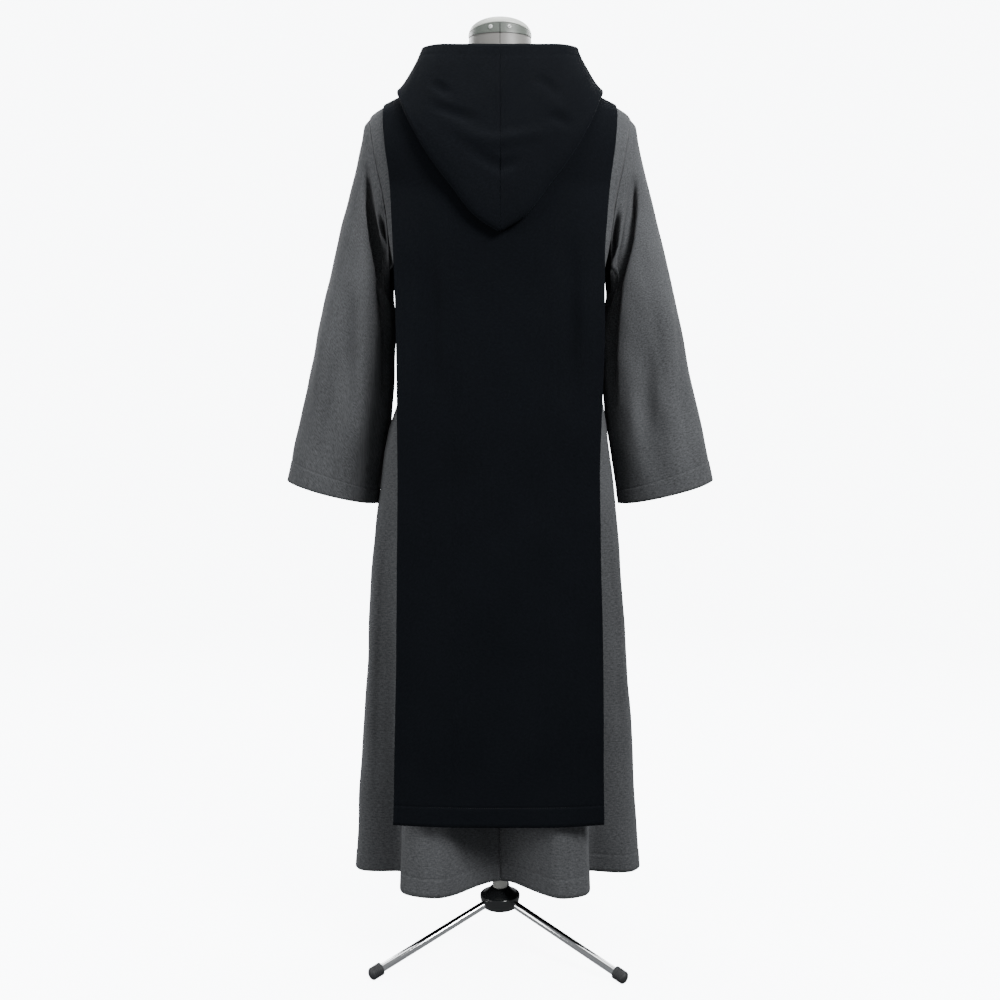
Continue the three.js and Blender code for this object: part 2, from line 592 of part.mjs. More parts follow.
// A point of the scapular's outer face, or of what lies a little over it.
function scapularPoint(across, level, face, rise = SCAPULAR_RISE) {
  const x = across * (across > 0 ? scapularAt.left(level) : scapularAt.right(level));
  const angle = angleAt(x, level, face);
  const atNeck = 1 + NECK_PUFF * soft((level - 1535) / 20);
  const puffed = SHOULDER_PUFF * atNeck * soft((190 - Math.abs(x)) / 60) * soft((level - 1440) / 40);
  const lying = tunicPoint(angle, level).addScaledVector(tunicOut(angle, level), rise + puffed);
  const middle = face > 0 ? scapularAt.back(level) : scapularAt.front(level);
  const edge = face > 0 ? scapularAt.backEdge(level) : scapularAt.frontEdge(level);
  let hanging = mix(middle, edge, Math.abs(across) ** 2.4);
  for (const trough of SCAPULAR_TROUGHS) {
    if (trough.side !== face) continue;
    const along = (level - trough.bottom) / (trough.top - trough.bottom);
    hanging -= face * trough.deep * bump((x - trough.x) / trough.half) * bump(2 * along - 1);
  }
  hanging += face * (rise - SCAPULAR_RISE);
  const free = soft((1460 - level) / 160);
  const out = Math.max(0, face * (hanging - lying.y)) * free;
  lying.y += face * out;
  lying.x = mix(lying.x, x, free);
  lying.z = mix(lying.z, level, soft((1300 - level) / 100));
  return lying;
}

const SCAPULAR_ACROSS = [-1, -0.86, -0.71, -0.57, -0.448, -0.42, -0.345, -0.23, -0.12];
const SCAPULAR_COLUMNS = [...SCAPULAR_ACROSS, 0, ...SCAPULAR_ACROSS.map((x) => -x).reverse()];
const SCAPULAR_LEVELS = [1391, 1350, 1290, 1200, 1090, 970, 840, 700, 550, 400, 258];
const SCAPULAR_TOP_ROWS = 8;

function scapularPanel(face) {
  const points = [];
  for (let i = 0; i < SCAPULAR_TOP_ROWS + SCAPULAR_LEVELS.length; i++) {
    const line = [];
    for (const across of SCAPULAR_COLUMNS) {
      const ridge = ridgeLevel(across * SCAPULAR[SCAPULAR.length - 1].left);
      const top = Math.min(NECK_Z - SCAPULAR_NECK_DROP, ridge);
      const t = i / SCAPULAR_TOP_ROWS;
      const level = i < SCAPULAR_TOP_ROWS
        ? mix(top, SCAPULAR_LEVELS[0], t * t)
        : SCAPULAR_LEVELS[i - SCAPULAR_TOP_ROWS];
      const p = scapularPoint(across, level, face);
      if (i === 0) p.y += face * SEAM_GAP / 2;
      line.push(p);
    }
    points.push(line);
  }
  const inward = points.map((line, i) =>
    line.map((p, j) => {
      const down = points[Math.min(i + 1, points.length - 1)][j].clone().sub(points[Math.max(i - 1, 0)][j]);
      const along = line[Math.min(j + 1, line.length - 1)].clone().sub(line[Math.max(j - 1, 0)]);
      const way = along.cross(down).multiplyScalar(-face).normalize();
      if (i === 0 && Math.abs(SCAPULAR_COLUMNS[j]) > 0.41) way.setY(0).normalize();
      return way;
    }),
  );
  return wallSolid(points, inward, SCAPULAR_WALL);
}

addPiece("scapular_back", scapularPanel(1), clothOf(black));
addPiece("scapular_front", scapularPanel(-1), clothOf(black));

// ---- Hood ----

const HOOD_RISE = SCAPULAR_RISE + LAYER_GAP + 1.9; // the outside of its under layer over the tunic
const HOOD_SEWN = 1.5; // how much nearer its neck edge lies, where it is sewn to the scapular
const HOOD_OPEN = 2 * HOOD_WALL + 2; // from there to the outside of its outer layer, where it lies flattest

// The level whose point at a distance across has a given height, on the back or the front.
function levelOf(x, z, face) {
  let low = 1200;
  let high = Math.min(NECK_Z, ridgeLevel(x));
  for (let i = 0; i < 40; i++) {
    const middle = (low + high) / 2;
    if (tunicPoint(angleAt(x, middle, face), middle).z < z) low = middle;
    else high = middle;
  }
  return low;
}

const HOOD_TURNS = [
  0, 0.06, 0.12, 0.19, 0.26, 0.33, 0.39, 0.445, 0.5, 0.53, 0.56, 0.59, 0.63, 0.69, 0.76, 0.83, 0.9, 0.95, 1,
];
const RIDGE_TURN = 0.56; // where the hood crosses the ridge of the shoulder
const UNDER_STEPS = 8;
const OUTER_STEPS = 6;

// A point moved out, where it lies nearer to the tunic than a given rise.
function liftedOff(p, rise, face) {
  for (let i = 0; i < 3; i++) {
    const level = levelOf(p.x, p.z, face);
    const angle = angleAt(p.x, level, face);
    const under = scapularPoint(p.x / scapularAt.left(level), level, face, rise);
    const base = tunicPoint(angle, level);
    const out = tunicOut(angle, level);
    const lying = rise + SHOULDER_PUFF;
    const need = Math.max(lying, under.sub(base).dot(out));
    const rises = p.clone().sub(base).dot(out);
    if (rises < need) p.addScaledVector(out, need - rises);
  }
  return p;
}

// The hood's under layer: a share of the way from the neck seam to the fold, at a given rise over the tunic.
function hoodUnder(turn, share, rise = HOOD_RISE) {
  const face = turn <= RIDGE_TURN ? 1 : -1;
  const past = face > 0 ? 1 - turn / RIDGE_TURN : (turn - RIDGE_TURN) / (1 - RIDGE_TURN);
  const neck = tunicPoint(face * past * BACK, NECK_Z);
  const x = mix(neck.x, hoodAt.foldX(turn), share);
  const level = levelOf(x, mix(neck.z, hoodAt.foldZ(turn), share), face);
  const angle = angleAt(x, level, face);
  const p = tunicPoint(angle, level).addScaledVector(tunicOut(angle, level), rise + SHOULDER_PUFF);
  const under = scapularPoint(x / scapularAt.left(level), level, face, rise);
  if (Math.abs(under.y) > Math.abs(p.y)) p.y = under.y;
  return p;
}

// One line of the hood: from the neck seam down its under layer, round the fold and up to the face edge.
function hoodLine(turn) {
  const face = turn <= RIDGE_TURN ? 1 : -1;
  const roll = hoodAt.roll(turn);
  const line = [];
  line.push(hoodUnder(turn, 0, HOOD_RISE - HOOD_SEWN));
  for (let k = 1; k <= UNDER_STEPS; k++) line.push(hoodUnder(turn, (k / UNDER_STEPS) * 0.96));
  const fold = hoodUnder(turn, 1);
  const out = hoodUnder(turn, 1, HOOD_RISE + 10).sub(fold).normalize();
  const crease = hoodUnder(Math.min(1, turn + 0.012), 1).sub(hoodUnder(Math.max(0, turn - 0.012), 1));
  if (turn === 0) crease.set(1, 0, 0);
  if (turn === 1) crease.set(-1, 0, 0);
  const on = out.clone().cross(crease).normalize();
  for (const angle of [30, 90, 150])
    line.push(
      fold
        .clone()
        .addScaledVector(on, roll * Math.sin(angle * RADIANS))
        .addScaledVector(out, roll * (1 - Math.cos(angle * RADIANS))),
    );
  const start = fold.clone().addScaledVector(out, 2 * roll);
  const rim = new THREE.Vector3(hoodAt.rimX(turn), hoodAt.rimY(turn), hoodAt.rimZ(turn));
  for (let k = 0; k <= OUTER_STEPS; k++) {
    const t = k / OUTER_STEPS;
    const p = start.clone().lerp(rim, t);
    p.addScaledVector(out, hoodAt.puff(turn) * Math.sin(Math.PI * t ** 0.8));
    line.push(k ? liftedOff(p, HOOD_RISE + HOOD_OPEN, face) : p);
  }
  return line;
}

function hoodHalf(side) {
  const points = HOOD_TURNS.map(hoodLine);
  for (const p of points[0]) p.x = SEAM_GAP / 2;
  for (const p of points[points.length - 1]) p.x = Math.max(p.x, SEAM_GAP / 2);
  const inward = points.map((line, i) =>
    line.map((p, j) => {
      const round = points[Math.min(i + 1, points.length - 1)][j].clone().sub(points[Math.max(i - 1, 0)][j]);
      const along = line[Math.min(j + 1, line.length - 1)].clone().sub(line[Math.max(j - 1, 0)]);
      const way = round.cross(along).normalize();
      if (i === 0 || i === points.length - 1) way.setX(0).normalize();
      return way;
    }),
  );
  const turned = (v) => new THREE.Vector3(side * v.x, v.y, v.z);
  return wallSolid(
    points.map((line) => line.map(turned)),
    inward.map((line) => line.map(turned)),
    HOOD_WALL,
  );
}

addPiece("hood_left", hoodHalf(1), clothOf(black));
addPiece("hood_right", hoodHalf(-1), clothOf(black));

// ---- Dress form ----

const formShell = new THREE.MeshStandardMaterial({ color: "#98958f", roughness: 0.55, metalness: 0 });
const formCap = new THREE.MeshStandardMaterial({ color: "#cdd2cb", roughness: 0.5, metalness: 0 });
const formPlate = new THREE.MeshStandardMaterial({ color: "#626168", roughness: 0.5, metalness: 0 });

function formPoint(angle, z) {
  const ring = { ...form, left: form.half, right: form.half, side: () => 0 };
  return ringPoint(ring, z, angle, z);
}

const FORM_COLUMNS = 28;
const FORM_LEVELS = FORM.map((row) => row.z);
const formRings = FORM_LEVELS.map((z) =>
  Array.from({ length: FORM_COLUMNS }, (_, j) => formPoint((j * 2 * Math.PI) / FORM_COLUMNS, z)),
);
const socket = new THREE.CylinderGeometry(POLE_R + FIT, POLE_R + FIT, 120, 24)
  .rotateX(Math.PI / 2)
  .translate(0, 0, FORM_BOTTOM_Z);
addPiece(
  "form_body",
  geometryOf(manifoldOf(loftSolid(formRings)).subtract(manifoldOf(socket))),
  formShell,
);

const capRadius = NECK_R - 2;
const capProfile = [
  [0, NECK_TOP_Z + FIT],
  [capRadius, NECK_TOP_Z + FIT],
  [capRadius + 0.6, NECK_TOP_Z + 3],
  [capRadius - 1, NECK_TOP_Z + 6.5],
  [capRadius - 5, CAP_TOP_Z - 1],
  [capRadius - 14, CAP_TOP_Z + 1.5],
  [capRadius - 32, CAP_TOP_Z + 4],
  [0, CAP_TOP_Z + 5],
];
addPiece(
  "form_neck_cap",
  new THREE.LatheGeometry(
    capProfile.map(([r, z]) => new THREE.Vector2(r, z)),
    28,
  ).rotateX(Math.PI / 2),
  formCap,
);

// The plate round the back of the neck, deepest at centre back.
const PLATE_THICK = 1.2;
const PLATE_COLUMNS = 18;
const plateAngles = Array.from(
  { length: PLATE_COLUMNS + 1 },
  (_, j) => mix(8, 172, j / PLATE_COLUMNS) * RADIANS,
);
const plateGrid = [0, 1].map((top) =>
  plateAngles.map((angle) => {
    const z = top ? NECK_TOP_Z - 0.8 : NECK_TOP_Z - 1.5 - 16 * Math.sin(angle);
    const p = formPoint(angle, z);
    const out = new THREE.Vector3(Math.cos(angle), Math.sin(angle), 0);
    return p.addScaledVector(out, FIT);
  }),
);
const plateOut = [0, 1].map(() =>
  plateAngles.map((angle) => new THREE.Vector3(Math.cos(angle), Math.sin(angle), 0)),
);
addPiece("form_neck_plate", wallSolid(plateGrid, plateOut, PLATE_THICK), formPlate);

const SCREW_R = 4;
const SCREW_X = 16.5;
const SCREW_Z = 1643;
for (const [name, x] of [
  ["form_screw_left", SCREW_X],
  ["form_screw_right", -SCREW_X],
]) {
  const angle = Math.acos(x / NECK_R);
  const foot = formPoint(angle, SCREW_Z);
  const seat = Math.hypot(foot.x, foot.y);
  const head = new THREE.CylinderGeometry(SCREW_R * 0.8, SCREW_R, 2.2, 16);
  head.rotateZ(-Math.PI / 2);
  head.translate(seat + FIT + PLATE_THICK + FIT + 1.1, 0, 0);
  head.rotateZ(angle);
  head.translate(0, 0, SCREW_Z);
  addPiece(name, head, formCap);
}

// ---- Stand ----

const poleFinish = new THREE.MeshStandardMaterial({ color: "#d4d8ce", roughness: 0.35, metalness: 0.1 });
const hubFinish = new THREE.MeshStandardMaterial({ color: "#181a1b", roughness: 0.3, metalness: 0 });
const chrome = new THREE.MeshStandardMaterial({ color: "#c9ccd0", roughness: 0.12, metalness: 1 });
const rubber = new THREE.MeshStandardMaterial({ color: "#111214", roughness: 0.8, metalness: 0 });

const poleBottom = HUB_BOTTOM_Z + 4;
const poleTop = FORM_BOTTOM_Z + 60 - FIT;
addPiece(
  "stand_pole",
  new THREE.CylinderGeometry(POLE_R, POLE_R, poleTop - poleBottom, 24)
    .rotateX(Math.PI / 2)
    .translate(0, 0, (poleTop + poleBottom) / 2),
  poleFinish,
);

const hubProfile = [
  [0, HUB_BOTTOM_Z],
  [30, HUB_BOTTOM_Z],
  [33, HUB_BOTTOM_Z + 4],
  [HUB_R - 1, HUB_TOP_Z - 5],
  [HUB_R, HUB_TOP_Z - 1.5],
  [HUB_R - 1.5, HUB_TOP_Z],
  [HUB_R - 5, HUB_TOP_Z - 1],
  [22, HUB_TOP_Z - 5],
  [POLE_R + FIT, HUB_TOP_Z - 5.5],
  [POLE_R + FIT, poleBottom - FIT],
  [0, poleBottom - FIT],
];
let hub = manifoldOf(
  new THREE.LatheGeometry(
    hubProfile.map(([r, z]) => new THREE.Vector2(r, z)),
    24,
  ).rotateX(Math.PI / 2),
);

const legFrom = new THREE.Vector3(LEG_START[0], 0, LEG_START[1]);
const legTo = new THREE.Vector3(FOOT_REACH, 0, FOOT_Z);
const legWay = legTo.clone().sub(legFrom).normalize();
const legTurn = new THREE.Quaternion().setFromUnitVectors(new THREE.Vector3(0, 1, 0), legWay);

// Something turned about the Y axis, laid along a leg with its origin at the foot's middle, then swung round.
function onLeg(geometry, swing) {
  return geometry
    .applyQuaternion(legTurn)
    .translate(legTo.x, legTo.y, legTo.z)
    .rotateZ(swing);
}

const HUB_SIDE = 29; // reach at which a leg enters the hub
const legInner = -(FOOT_REACH - HUB_SIDE) / legWay.x;
const LEG_END = 4;
const feetAndLegs = [
  ["left", 30.5],
  ["right", 146],
  ["front", 268],
];
for (const [name, degrees] of feetAndLegs) {
  const swing = degrees * RADIANS;
  const length = LEG_END - legInner;
  const leg = new THREE.CylinderGeometry(LEG_R, LEG_R, length, 12).translate(0, (LEG_END + legInner) / 2, 0);
  addPiece("stand_leg_" + name, onLeg(leg, swing), chrome);
  const bore = new THREE.CylinderGeometry(LEG_R + FIT, LEG_R + FIT, length + FIT, 12)
    .translate(0, (LEG_END + legInner - FIT) / 2, 0);
  hub = hub.subtract(manifoldOf(onLeg(bore, swing)));
  const half = FOOT_LENGTH / 2;
  const footProfile = [
    [0, LEG_END + FIT],
    [LEG_R + FIT, LEG_END + FIT],
    [LEG_R + FIT, -half],
    [FOOT_R - 2.5, -half],
    [FOOT_R - 0.6, -half + 2],
    [FOOT_R, half - 7],
    [FOOT_R - 2, half - 3],
    [FOOT_R - 6, half - 0.6],
    [0, half],
  ];
  const foot = new THREE.LatheGeometry(
    footProfile.map(([r, y]) => new THREE.Vector2(r, y)),
    14,
  );
  const floor = new THREE.BoxGeometry(800, 800, 60).translate(0, 0, -30);
  const cut = manifoldOf(onLeg(foot, swing)).subtract(manifoldOf(floor));
  addPiece("stand_foot_" + name, geometryOf(cut), rubber);
}
addPiece("stand_hub", geometryOf(hub), hubFinish);

export default habit;
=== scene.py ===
"""A monk's habit on its dress form: creased and stitched cloth, the form's neck and the stand."""
import functools
import math

import bmesh
import bpy
import numpy as np
from bpy.props import FloatProperty, FloatVectorProperty, PointerProperty
from mathutils import Matrix, Vector


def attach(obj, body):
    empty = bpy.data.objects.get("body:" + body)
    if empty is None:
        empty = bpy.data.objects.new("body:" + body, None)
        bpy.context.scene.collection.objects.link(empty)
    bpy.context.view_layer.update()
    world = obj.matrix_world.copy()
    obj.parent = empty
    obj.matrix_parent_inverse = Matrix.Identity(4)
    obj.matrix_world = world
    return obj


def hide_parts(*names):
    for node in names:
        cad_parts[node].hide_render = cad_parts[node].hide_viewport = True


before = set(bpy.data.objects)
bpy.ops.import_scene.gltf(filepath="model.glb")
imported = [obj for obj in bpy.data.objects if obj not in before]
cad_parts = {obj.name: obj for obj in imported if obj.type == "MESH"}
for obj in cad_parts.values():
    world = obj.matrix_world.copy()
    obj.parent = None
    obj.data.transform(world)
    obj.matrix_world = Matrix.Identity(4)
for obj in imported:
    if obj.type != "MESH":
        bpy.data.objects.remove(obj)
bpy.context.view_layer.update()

bl_info = {
    "name": "Monk habit",
    "version": (1, 0, 0),
    "blender": (4, 5, 0),
    "location": "View3D > Sidebar > Habit",
    "description": "Builds a monk's habit on a dress form with its stand",
    "category": "Add Mesh",
}

# --- Sizes
#
# In millimetres about the pole. +Z is up, the front of the habit faces -Y, the wearer's left is +X.

STAND_Y = 53
HEM_Z, SCAPULAR_HEM_Z, UNDERARM_Z, SHOULDER_TIP_Z, NECK_Z = 131, 258, 1185, 1496, 1566
SEAM_GAP = 0.04
LAYER_GAP, SCAPULAR_WALL = 1.6, 1.8
HEM_DEPTH, SCAPULAR_HEM, CUFF_HEM = 32, 33, 45
HEM_LIFT, HEM_PRESS = 0.5, 0.9
# Rings down a sleeve, and the cloth from each to the next.
RINGS, RING_LENGTH = 10, 68
# How high and how far apart the cloth is uneven.
TUNIC_RUMPLE, SLEEVE_RUMPLE, SCAPULAR_RUMPLE, HOOD_RUMPLE = (1.3, 60), (1.2, 45), (1.1, 62), (0.8, 38)
# A stitch's length, the gap to the next and its thickness.
STITCH = (2.6, 1.2, 0.7)
SCAPULAR_COLUMNS, SCAPULAR_ROWS = 84, 230
# Rows of the hood's under layer, of its rolled fold and of its outer layer.
HOOD_ROWS = (34, 9, 60)


def table(names, *rows):
    """A table of sizes as named columns."""
    names = names.split()
    return {name: np.array([row[i] for row in rows], float) for i, name in enumerate(names)}


TUNIC = table(
    "level left right back front side back_z front_z square",
    (131, 263, 253, 108, -192, -72, 131, 131, 2.1),
    (180, 260, 251, 108, -186, -68, 180, 180, 2.1),
    (281, 256, 246, 108, -174, -60, 281, 281, 2.1),
    (400, 251, 240, 107, -162, -50, 400, 400, 2.1),
    (520, 246, 233, 106, -152, -41, 520, 520, 2.15),
    (640, 239, 227, 105, -143, -31, 640, 640, 2.2),
    (750, 229, 218, 104, -135, -21, 750, 750, 2.2),
    (850, 217, 206, 104, -129, -12, 850, 850, 2.3),
    (930, 203, 196, 103, -126, -5, 930, 930, 2.3),
    (1010, 181, 184, 104, -125, 0, 1010, 1010, 2.35),
    (1100, 180, 180, 109, -126, 0, 1100, 1100, 2.4),
    (1185, 195, 195, 115, -128, 0, 1185, 1185, 2.4),
    (1250, 209, 209, 119, -129, 0, 1249, 1247, 2.4),
    (1306, 220, 220, 122, -129, 0, 1303, 1298, 2.4),
    (1350, 231, 231, 123.5, -128, 0, 1343, 1334, 2.4),
    (1391, 240, 240, 124, -127, 0, 1379, 1366, 2.4),
    (1433, 245, 245, 122.5, -125, 0, 1413, 1395, 2.4),
    (1467, 243, 243, 119.5, -121, 0, 1441, 1418, 2.35),
    (1485, 240, 240, 116.5, -118, 0, 1458, 1432, 2.3),
    (1496, 236, 236, 114, -115, 0, 1470, 1441, 2.25),
    (1508, 221, 221, 109.5, -111, 0, 1486, 1453, 2.2),
    (1526, 186, 186, 101.5, -105, 0, 1512, 1470, 2.15),
    (1547, 135, 135, 89, -97, 0, 1544, 1485, 2.1),
    (1566, 84, 84, 74, -88, 0, 1572, 1497, 2.05),
)

SKIRT_FOLDS = table(
    "at half deep ends growth",
    (90.5, 23, -70, 930, 1.3),
    (60, 24, 24, 900, 1.3),
    (36, 20, -56, 960, 1.3),
    (11, 15, 10, 820, 1.2),
    (117, 23, 24, 900, 1.3),
    (141, 20, -64, 940, 1.3),
    (168, 14, 9, 840, 1.2),
    (-20, 17, -22, 880, 1.2),
    (-46, 18, 20, 800, 1.3),
    (-69, 19, -26, 940, 1.3),
    (-97, 20, 14, 760, 1.4),
    (-121, 18, -24, 900, 1.3),
    (-143, 17, 18, 780, 1.2),
    (-164, 14, -18, 860, 1.2),
)

ARMHOLE = table(
    "level out",
    (1185, 195), (1250, 197), (1306, 200.5), (1350, 207), (1391, 216), (1433, 224), (1467, 230),
    (1496, 236),
)

SLEEVE = table(
    "ring out_x out_z in_x in_z middle depth sag",
    (0, 236, 1496, 195, 1185, 0, 61, 0),
    (1, 245, 1487, 197, 1163, -1, 62, 0),
    (2, 250, 1458, 199, 1139, -2, 64, 0),
    (3, 263, 1405, 201, 1100, -4, 69, 0),
    (4, 282, 1330, 203, 1052, -7, 74, 0),
    (5, 304, 1240, 206, 1008, -10, 77, 1),
    (6, 325, 1145, 210, 966, -14, 77, 2),
    (7, 345, 1050, 216, 925, -18, 76, 4),
    (8, 364, 970, 223, 882, -22, 75, 7),
    (9, 379, 905, 228, 843, -25, 74, 9),
    (10, 391, 849, 231, 806, -27, 73, 11),
)

# How much nearer to the body each sleeve's inner edge hangs: left 1, right -1.
SLEEVE_CLOSER = {
    1: table(
        "ring closer",
        (0, 0), (1, 3), (2, 8), (3, 10), (3.7, 10), (5.3, 12), (7.2, 11), (8.5, 9.5), (10, 7),
    ),
    -1: table(
        "ring closer",
        (0, 0), (1, 3), (2, 9), (3, 14), (3.7, 16), (5.3, 18), (7.2, 17), (8.5, 16), (10, 13),
    ),
}

SLEEVE_FOLDS = {
    1: table(
        "face ring rings across width deep",
        (1, 2.2, 1.7, 0.42, 0.42, -15),
        (1, 7, 3.2, 0.6, 0.17, -7),
        (1, 5.6, 3.4, 0.84, 0.13, 4),
        (-1, 2.4, 1.8, 0.38, 0.38, -12),
        (-1, 7.5, 3, 0.55, 0.2, -8),
    ),
    -1: table(
        "face ring rings across width deep",
        (1, 2.1, 1.6, 0.45, 0.42, -14),
        (1, 7.2, 3.4, 0.42, 0.2, -8),
        (1, 5.2, 3, 0.78, 0.15, 4),
        (-1, 2.2, 1.8, 0.4, 0.38, -12),
        (-1, 7, 3, 0.6, 0.18, -7),
    ),
}

SCAPULAR = table(
    "level left right back back_edge front front_edge",
    (258, 181, 177, 135, 119, -198, -168),
    (387, 179, 176, 132, 120, -186, -156),
    (560, 176, 175, 130, 120, -168, -138),
    (691, 175, 172, 129, 119, -158, -128),
    (843, 174, 170, 128, 118, -148, -118),
    (978, 175.5, 174.5, 128, 116, -140, -108),
    (1079, 177.5, 178, 128, 112, -136, -100),
    (1233, 183, 180, 129, 104, -136, -101),
    (1302, 187, 185, 130, 97, -136, -95),
    (1373, 191.5, 191.5, 129, 84, -134, -86),
    (1440, 199, 199, 100, 40, -100, -40),
    (1511, 204, 204, 80, 0, -80, 0),
    (1566, 204, 204, 70, 0, -70, 0),
)

SCAPULAR_TROUGHS = table(
    "side x half deep top bottom",
    (1, 118, 30, 8, 1330, 860),
    (1, -120, 28, 7, 1330, 900),
    (1, 10, 60, 5, 760, 240),
    (-1, 96, 30, 7, 1250, 620),
    (-1, -84, 34, 8, 1200, 480),
)

HOOD = table(
    "turn fold_x fold_z rim_x rim_y rim_z puff roll",
    (0, 0, 1266, 0, 100, 1592, 14, 7),
    (0.09, 36, 1290, 34, 99.5, 1592.5, 14.5, 7),
    (0.18, 78, 1345, 66, 96, 1594, 13.5, 7),
    (0.27, 114, 1394, 96, 88, 1598, 10, 6),
    (0.36, 143, 1443, 122, 70, 1604, 6, 4.5),
    (0.43, 163, 1486, 138.5, 48, 1608, 1, 3.6),
    (0.5, 173, 1517, 141, 26, 1604, -2, 3.4),
    (0.53, 173, 1525.8, 140, 14, 1600, -3, 3.4),
    (0.56, 172, 1529, 140, 3, 1597, -3, 3.4),
    (0.59, 170, 1526, 139, -8, 1593, -1, 3.6),
    (0.63, 166, 1516, 136, -22, 1587, 2, 4),
    (0.7, 153, 1492, 126, -48, 1573, 6, 5),
    (0.78, 128, 1466, 104, -78, 1551, 9, 5.5),
    (0.87, 90, 1444, 70, -104, 1527, 9, 5.5),
    (0.94, 44, 1440, 34, -117, 1512, 7, 5),
    (1, 5, 1452, 2, -120, 1505, 5, 4.5),
)

FORM = table(
    "z half back front back_z front_z square",
    (800, 140, 80, -86, 800, 800, 2.2),
    (812, 149, 87, -93, 812, 812, 2.2),
    (880, 156, 92, -98, 880, 880, 2.2),
    (970, 149, 92, -98, 970, 970, 2.2),
    (1070, 136, 88, -96, 1070, 1070, 2.2),
    (1170, 146, 98, -106, 1170, 1170, 2.2),
    (1280, 160, 111, -118, 1278, 1276, 2.3),
    (1370, 169, 116, -120, 1362, 1350, 2.3),
    (1440, 180, 115, -116, 1422, 1402, 2.3),
    (1485, 190, 110, -111, 1462, 1432, 2.3),
    (1505, 188, 104, -106, 1486, 1450, 2.25),
    (1526, 171, 95, -99, 1512, 1469, 2.15),
    (1547, 123, 83, -90, 1543, 1485, 2.1),
    (1564, 80, 68, -79, 1568, 1504, 2.05),
    (1582, 64, 60, -66, 1584, 1545, 2),
    (1604, 59, 58, -60, 1604, 1590, 2),
    (1628, 58, 58, -58, 1628, 1628, 2),
    (1651, 56, 56, -56, 1651, 1651, 2),
)

# Creases laid into the cloth: the face they lie on (1 back, -1 front), half their width, how deep
# (minus is a trough) and the points they run through, across and up.
TUNIC_CREASES = [
    (1, 20, -14, [(222, 1310), (210, 1250), (200, 1200), (192, 1140), (184, 1060)]),
    (1, 20, -14, [(-220, 1310), (-208, 1250), (-198, 1200), (-190, 1140), (-184, 1060)]),
    (1, 16, 5, [(-200, 782), (-212, 676), (-222, 584), (-226, 486), (-235, 353), (-240, 264)]),
    (1, 18, -5, [(-218, 790), (-230, 640), (-240, 430)]),
    (1, 17, 5, [(212, 800), (226, 640), (236, 450), (244, 250)]),
    (1, 20, -5, [(232, 690), (244, 500), (250, 300)]),
    (1, 26, -6, [(70, 320), (60, 230), (52, 140)]),
    (1, 22, 4, [(-92, 330), (-96, 230), (-98, 140)]),
    (1, 18, -4, [(-128, 300), (-132, 220), (-134, 150)]),
    (1, 20, 4, [(128, 300), (132, 220), (134, 150)]),
    (-1, 30, -6, [(150, 900), (170, 700), (190, 480), (200, 260)]),
    (-1, 26, 5, [(196, 860), (215, 640), (232, 400), (240, 200)]),
    (-1, 30, -6, [(-148, 880), (-166, 690), (-182, 470), (-190, 250)]),
    (-1, 26, 5, [(-190, 850), (-208, 630), (-222, 400), (-228, 200)]),
    (-1, 20, -8, [(206, 1262), (200, 1215), (186, 1150)]),
    (-1, 20, -8, [(-206, 1262), (-200, 1215), (-186, 1150)]),
]
SLEEVE_CREASES = {
    1: [
        (1, 9, -28, [
            (236, 1392), (232, 1341), (227, 1307), (222, 1272), (216, 1238), (210, 1200), (206, 1120),
        ]),
        (1, 8, -24, [(208, 1306), (205, 1263), (202, 1215)]),
        (1, 26, -6, [(275, 1240), (274, 1150), (272, 1040), (262, 930)]),
        (1, 20, 5, [(243, 1190), (244, 1060), (246, 900)]),
        (1, 24, 4, [(304, 1150), (318, 1020), (330, 900)]),
        (1, 18, -4, [(292, 1060), (304, 960), (312, 860)]),
        (1, 12, -16, [(210, 1262), (204, 1200), (200, 1130), (200, 1060), (203, 980)]),
        (-1, 16, -12, [(238, 1380), (234, 1300), (222, 1215)]),
        (-1, 26, -6, [(270, 1200), (280, 1060), (290, 900)]),
        (-1, 22, 4, [(306, 1160), (322, 1020), (338, 880)]),
    ],
    -1: [
        (1, 9, -28, [(-238, 1372), (-234, 1320), (-227, 1268), (-216, 1229), (-207, 1192), (-202, 1120)]),
        (1, 8, -24, [(-208, 1312), (-202, 1268), (-198, 1222)]),
        (1, 26, -6, [(-268, 1120), (-262, 1020), (-252, 900)]),
        (1, 22, 5, [(-292, 1200), (-300, 1060), (-304, 930)]),
        (1, 18, -4, [(-318, 1040), (-330, 950), (-342, 860)]),
        (1, 12, -18, [(-209, 1250), (-203, 1195), (-198, 1130), (-196, 1060), (-200, 980)]),
        (-1, 16, -12, [(-238, 1380), (-234, 1300), (-222, 1215)]),
        (-1, 26, -6, [(-276, 1180), (-284, 1040), (-290, 890)]),
        (-1, 22, 4, [(-312, 1140), (-328, 1000), (-342, 880)]),
    ],
}
SCAPULAR_CREASES = [
    (1, 24, -3, [(122, 1250), (120, 1120), (124, 980)]),
    (1, 24, -3, [(-122, 1250), (-124, 1120), (-120, 960)]),
    (1, 34, 2.5, [(70, 1180), (64, 960), (72, 700), (66, 440)]),
    (1, 34, 2.5, [(-74, 1160), (-66, 940), (-78, 680), (-70, 430)]),
    (1, 26, -2, [(150, 800), (146, 560), (152, 330)]),
    (1, 28, -2, [(-148, 820), (-152, 560), (-146, 300)]),
    (1, 30, -2, [(12, 1150), (6, 900), (14, 620)]),
    (-1, 30, -3, [(90, 1100), (96, 860), (90, 560)]),
    (-1, 30, -3, [(-86, 1120), (-94, 860), (-84, 520)]),
    (-1, 34, 3, [(40, 1050), (46, 760), (38, 430)]),
    (-1, 34, 2.5, [(-30, 1100), (-40, 760), (-34, 400)]),
]
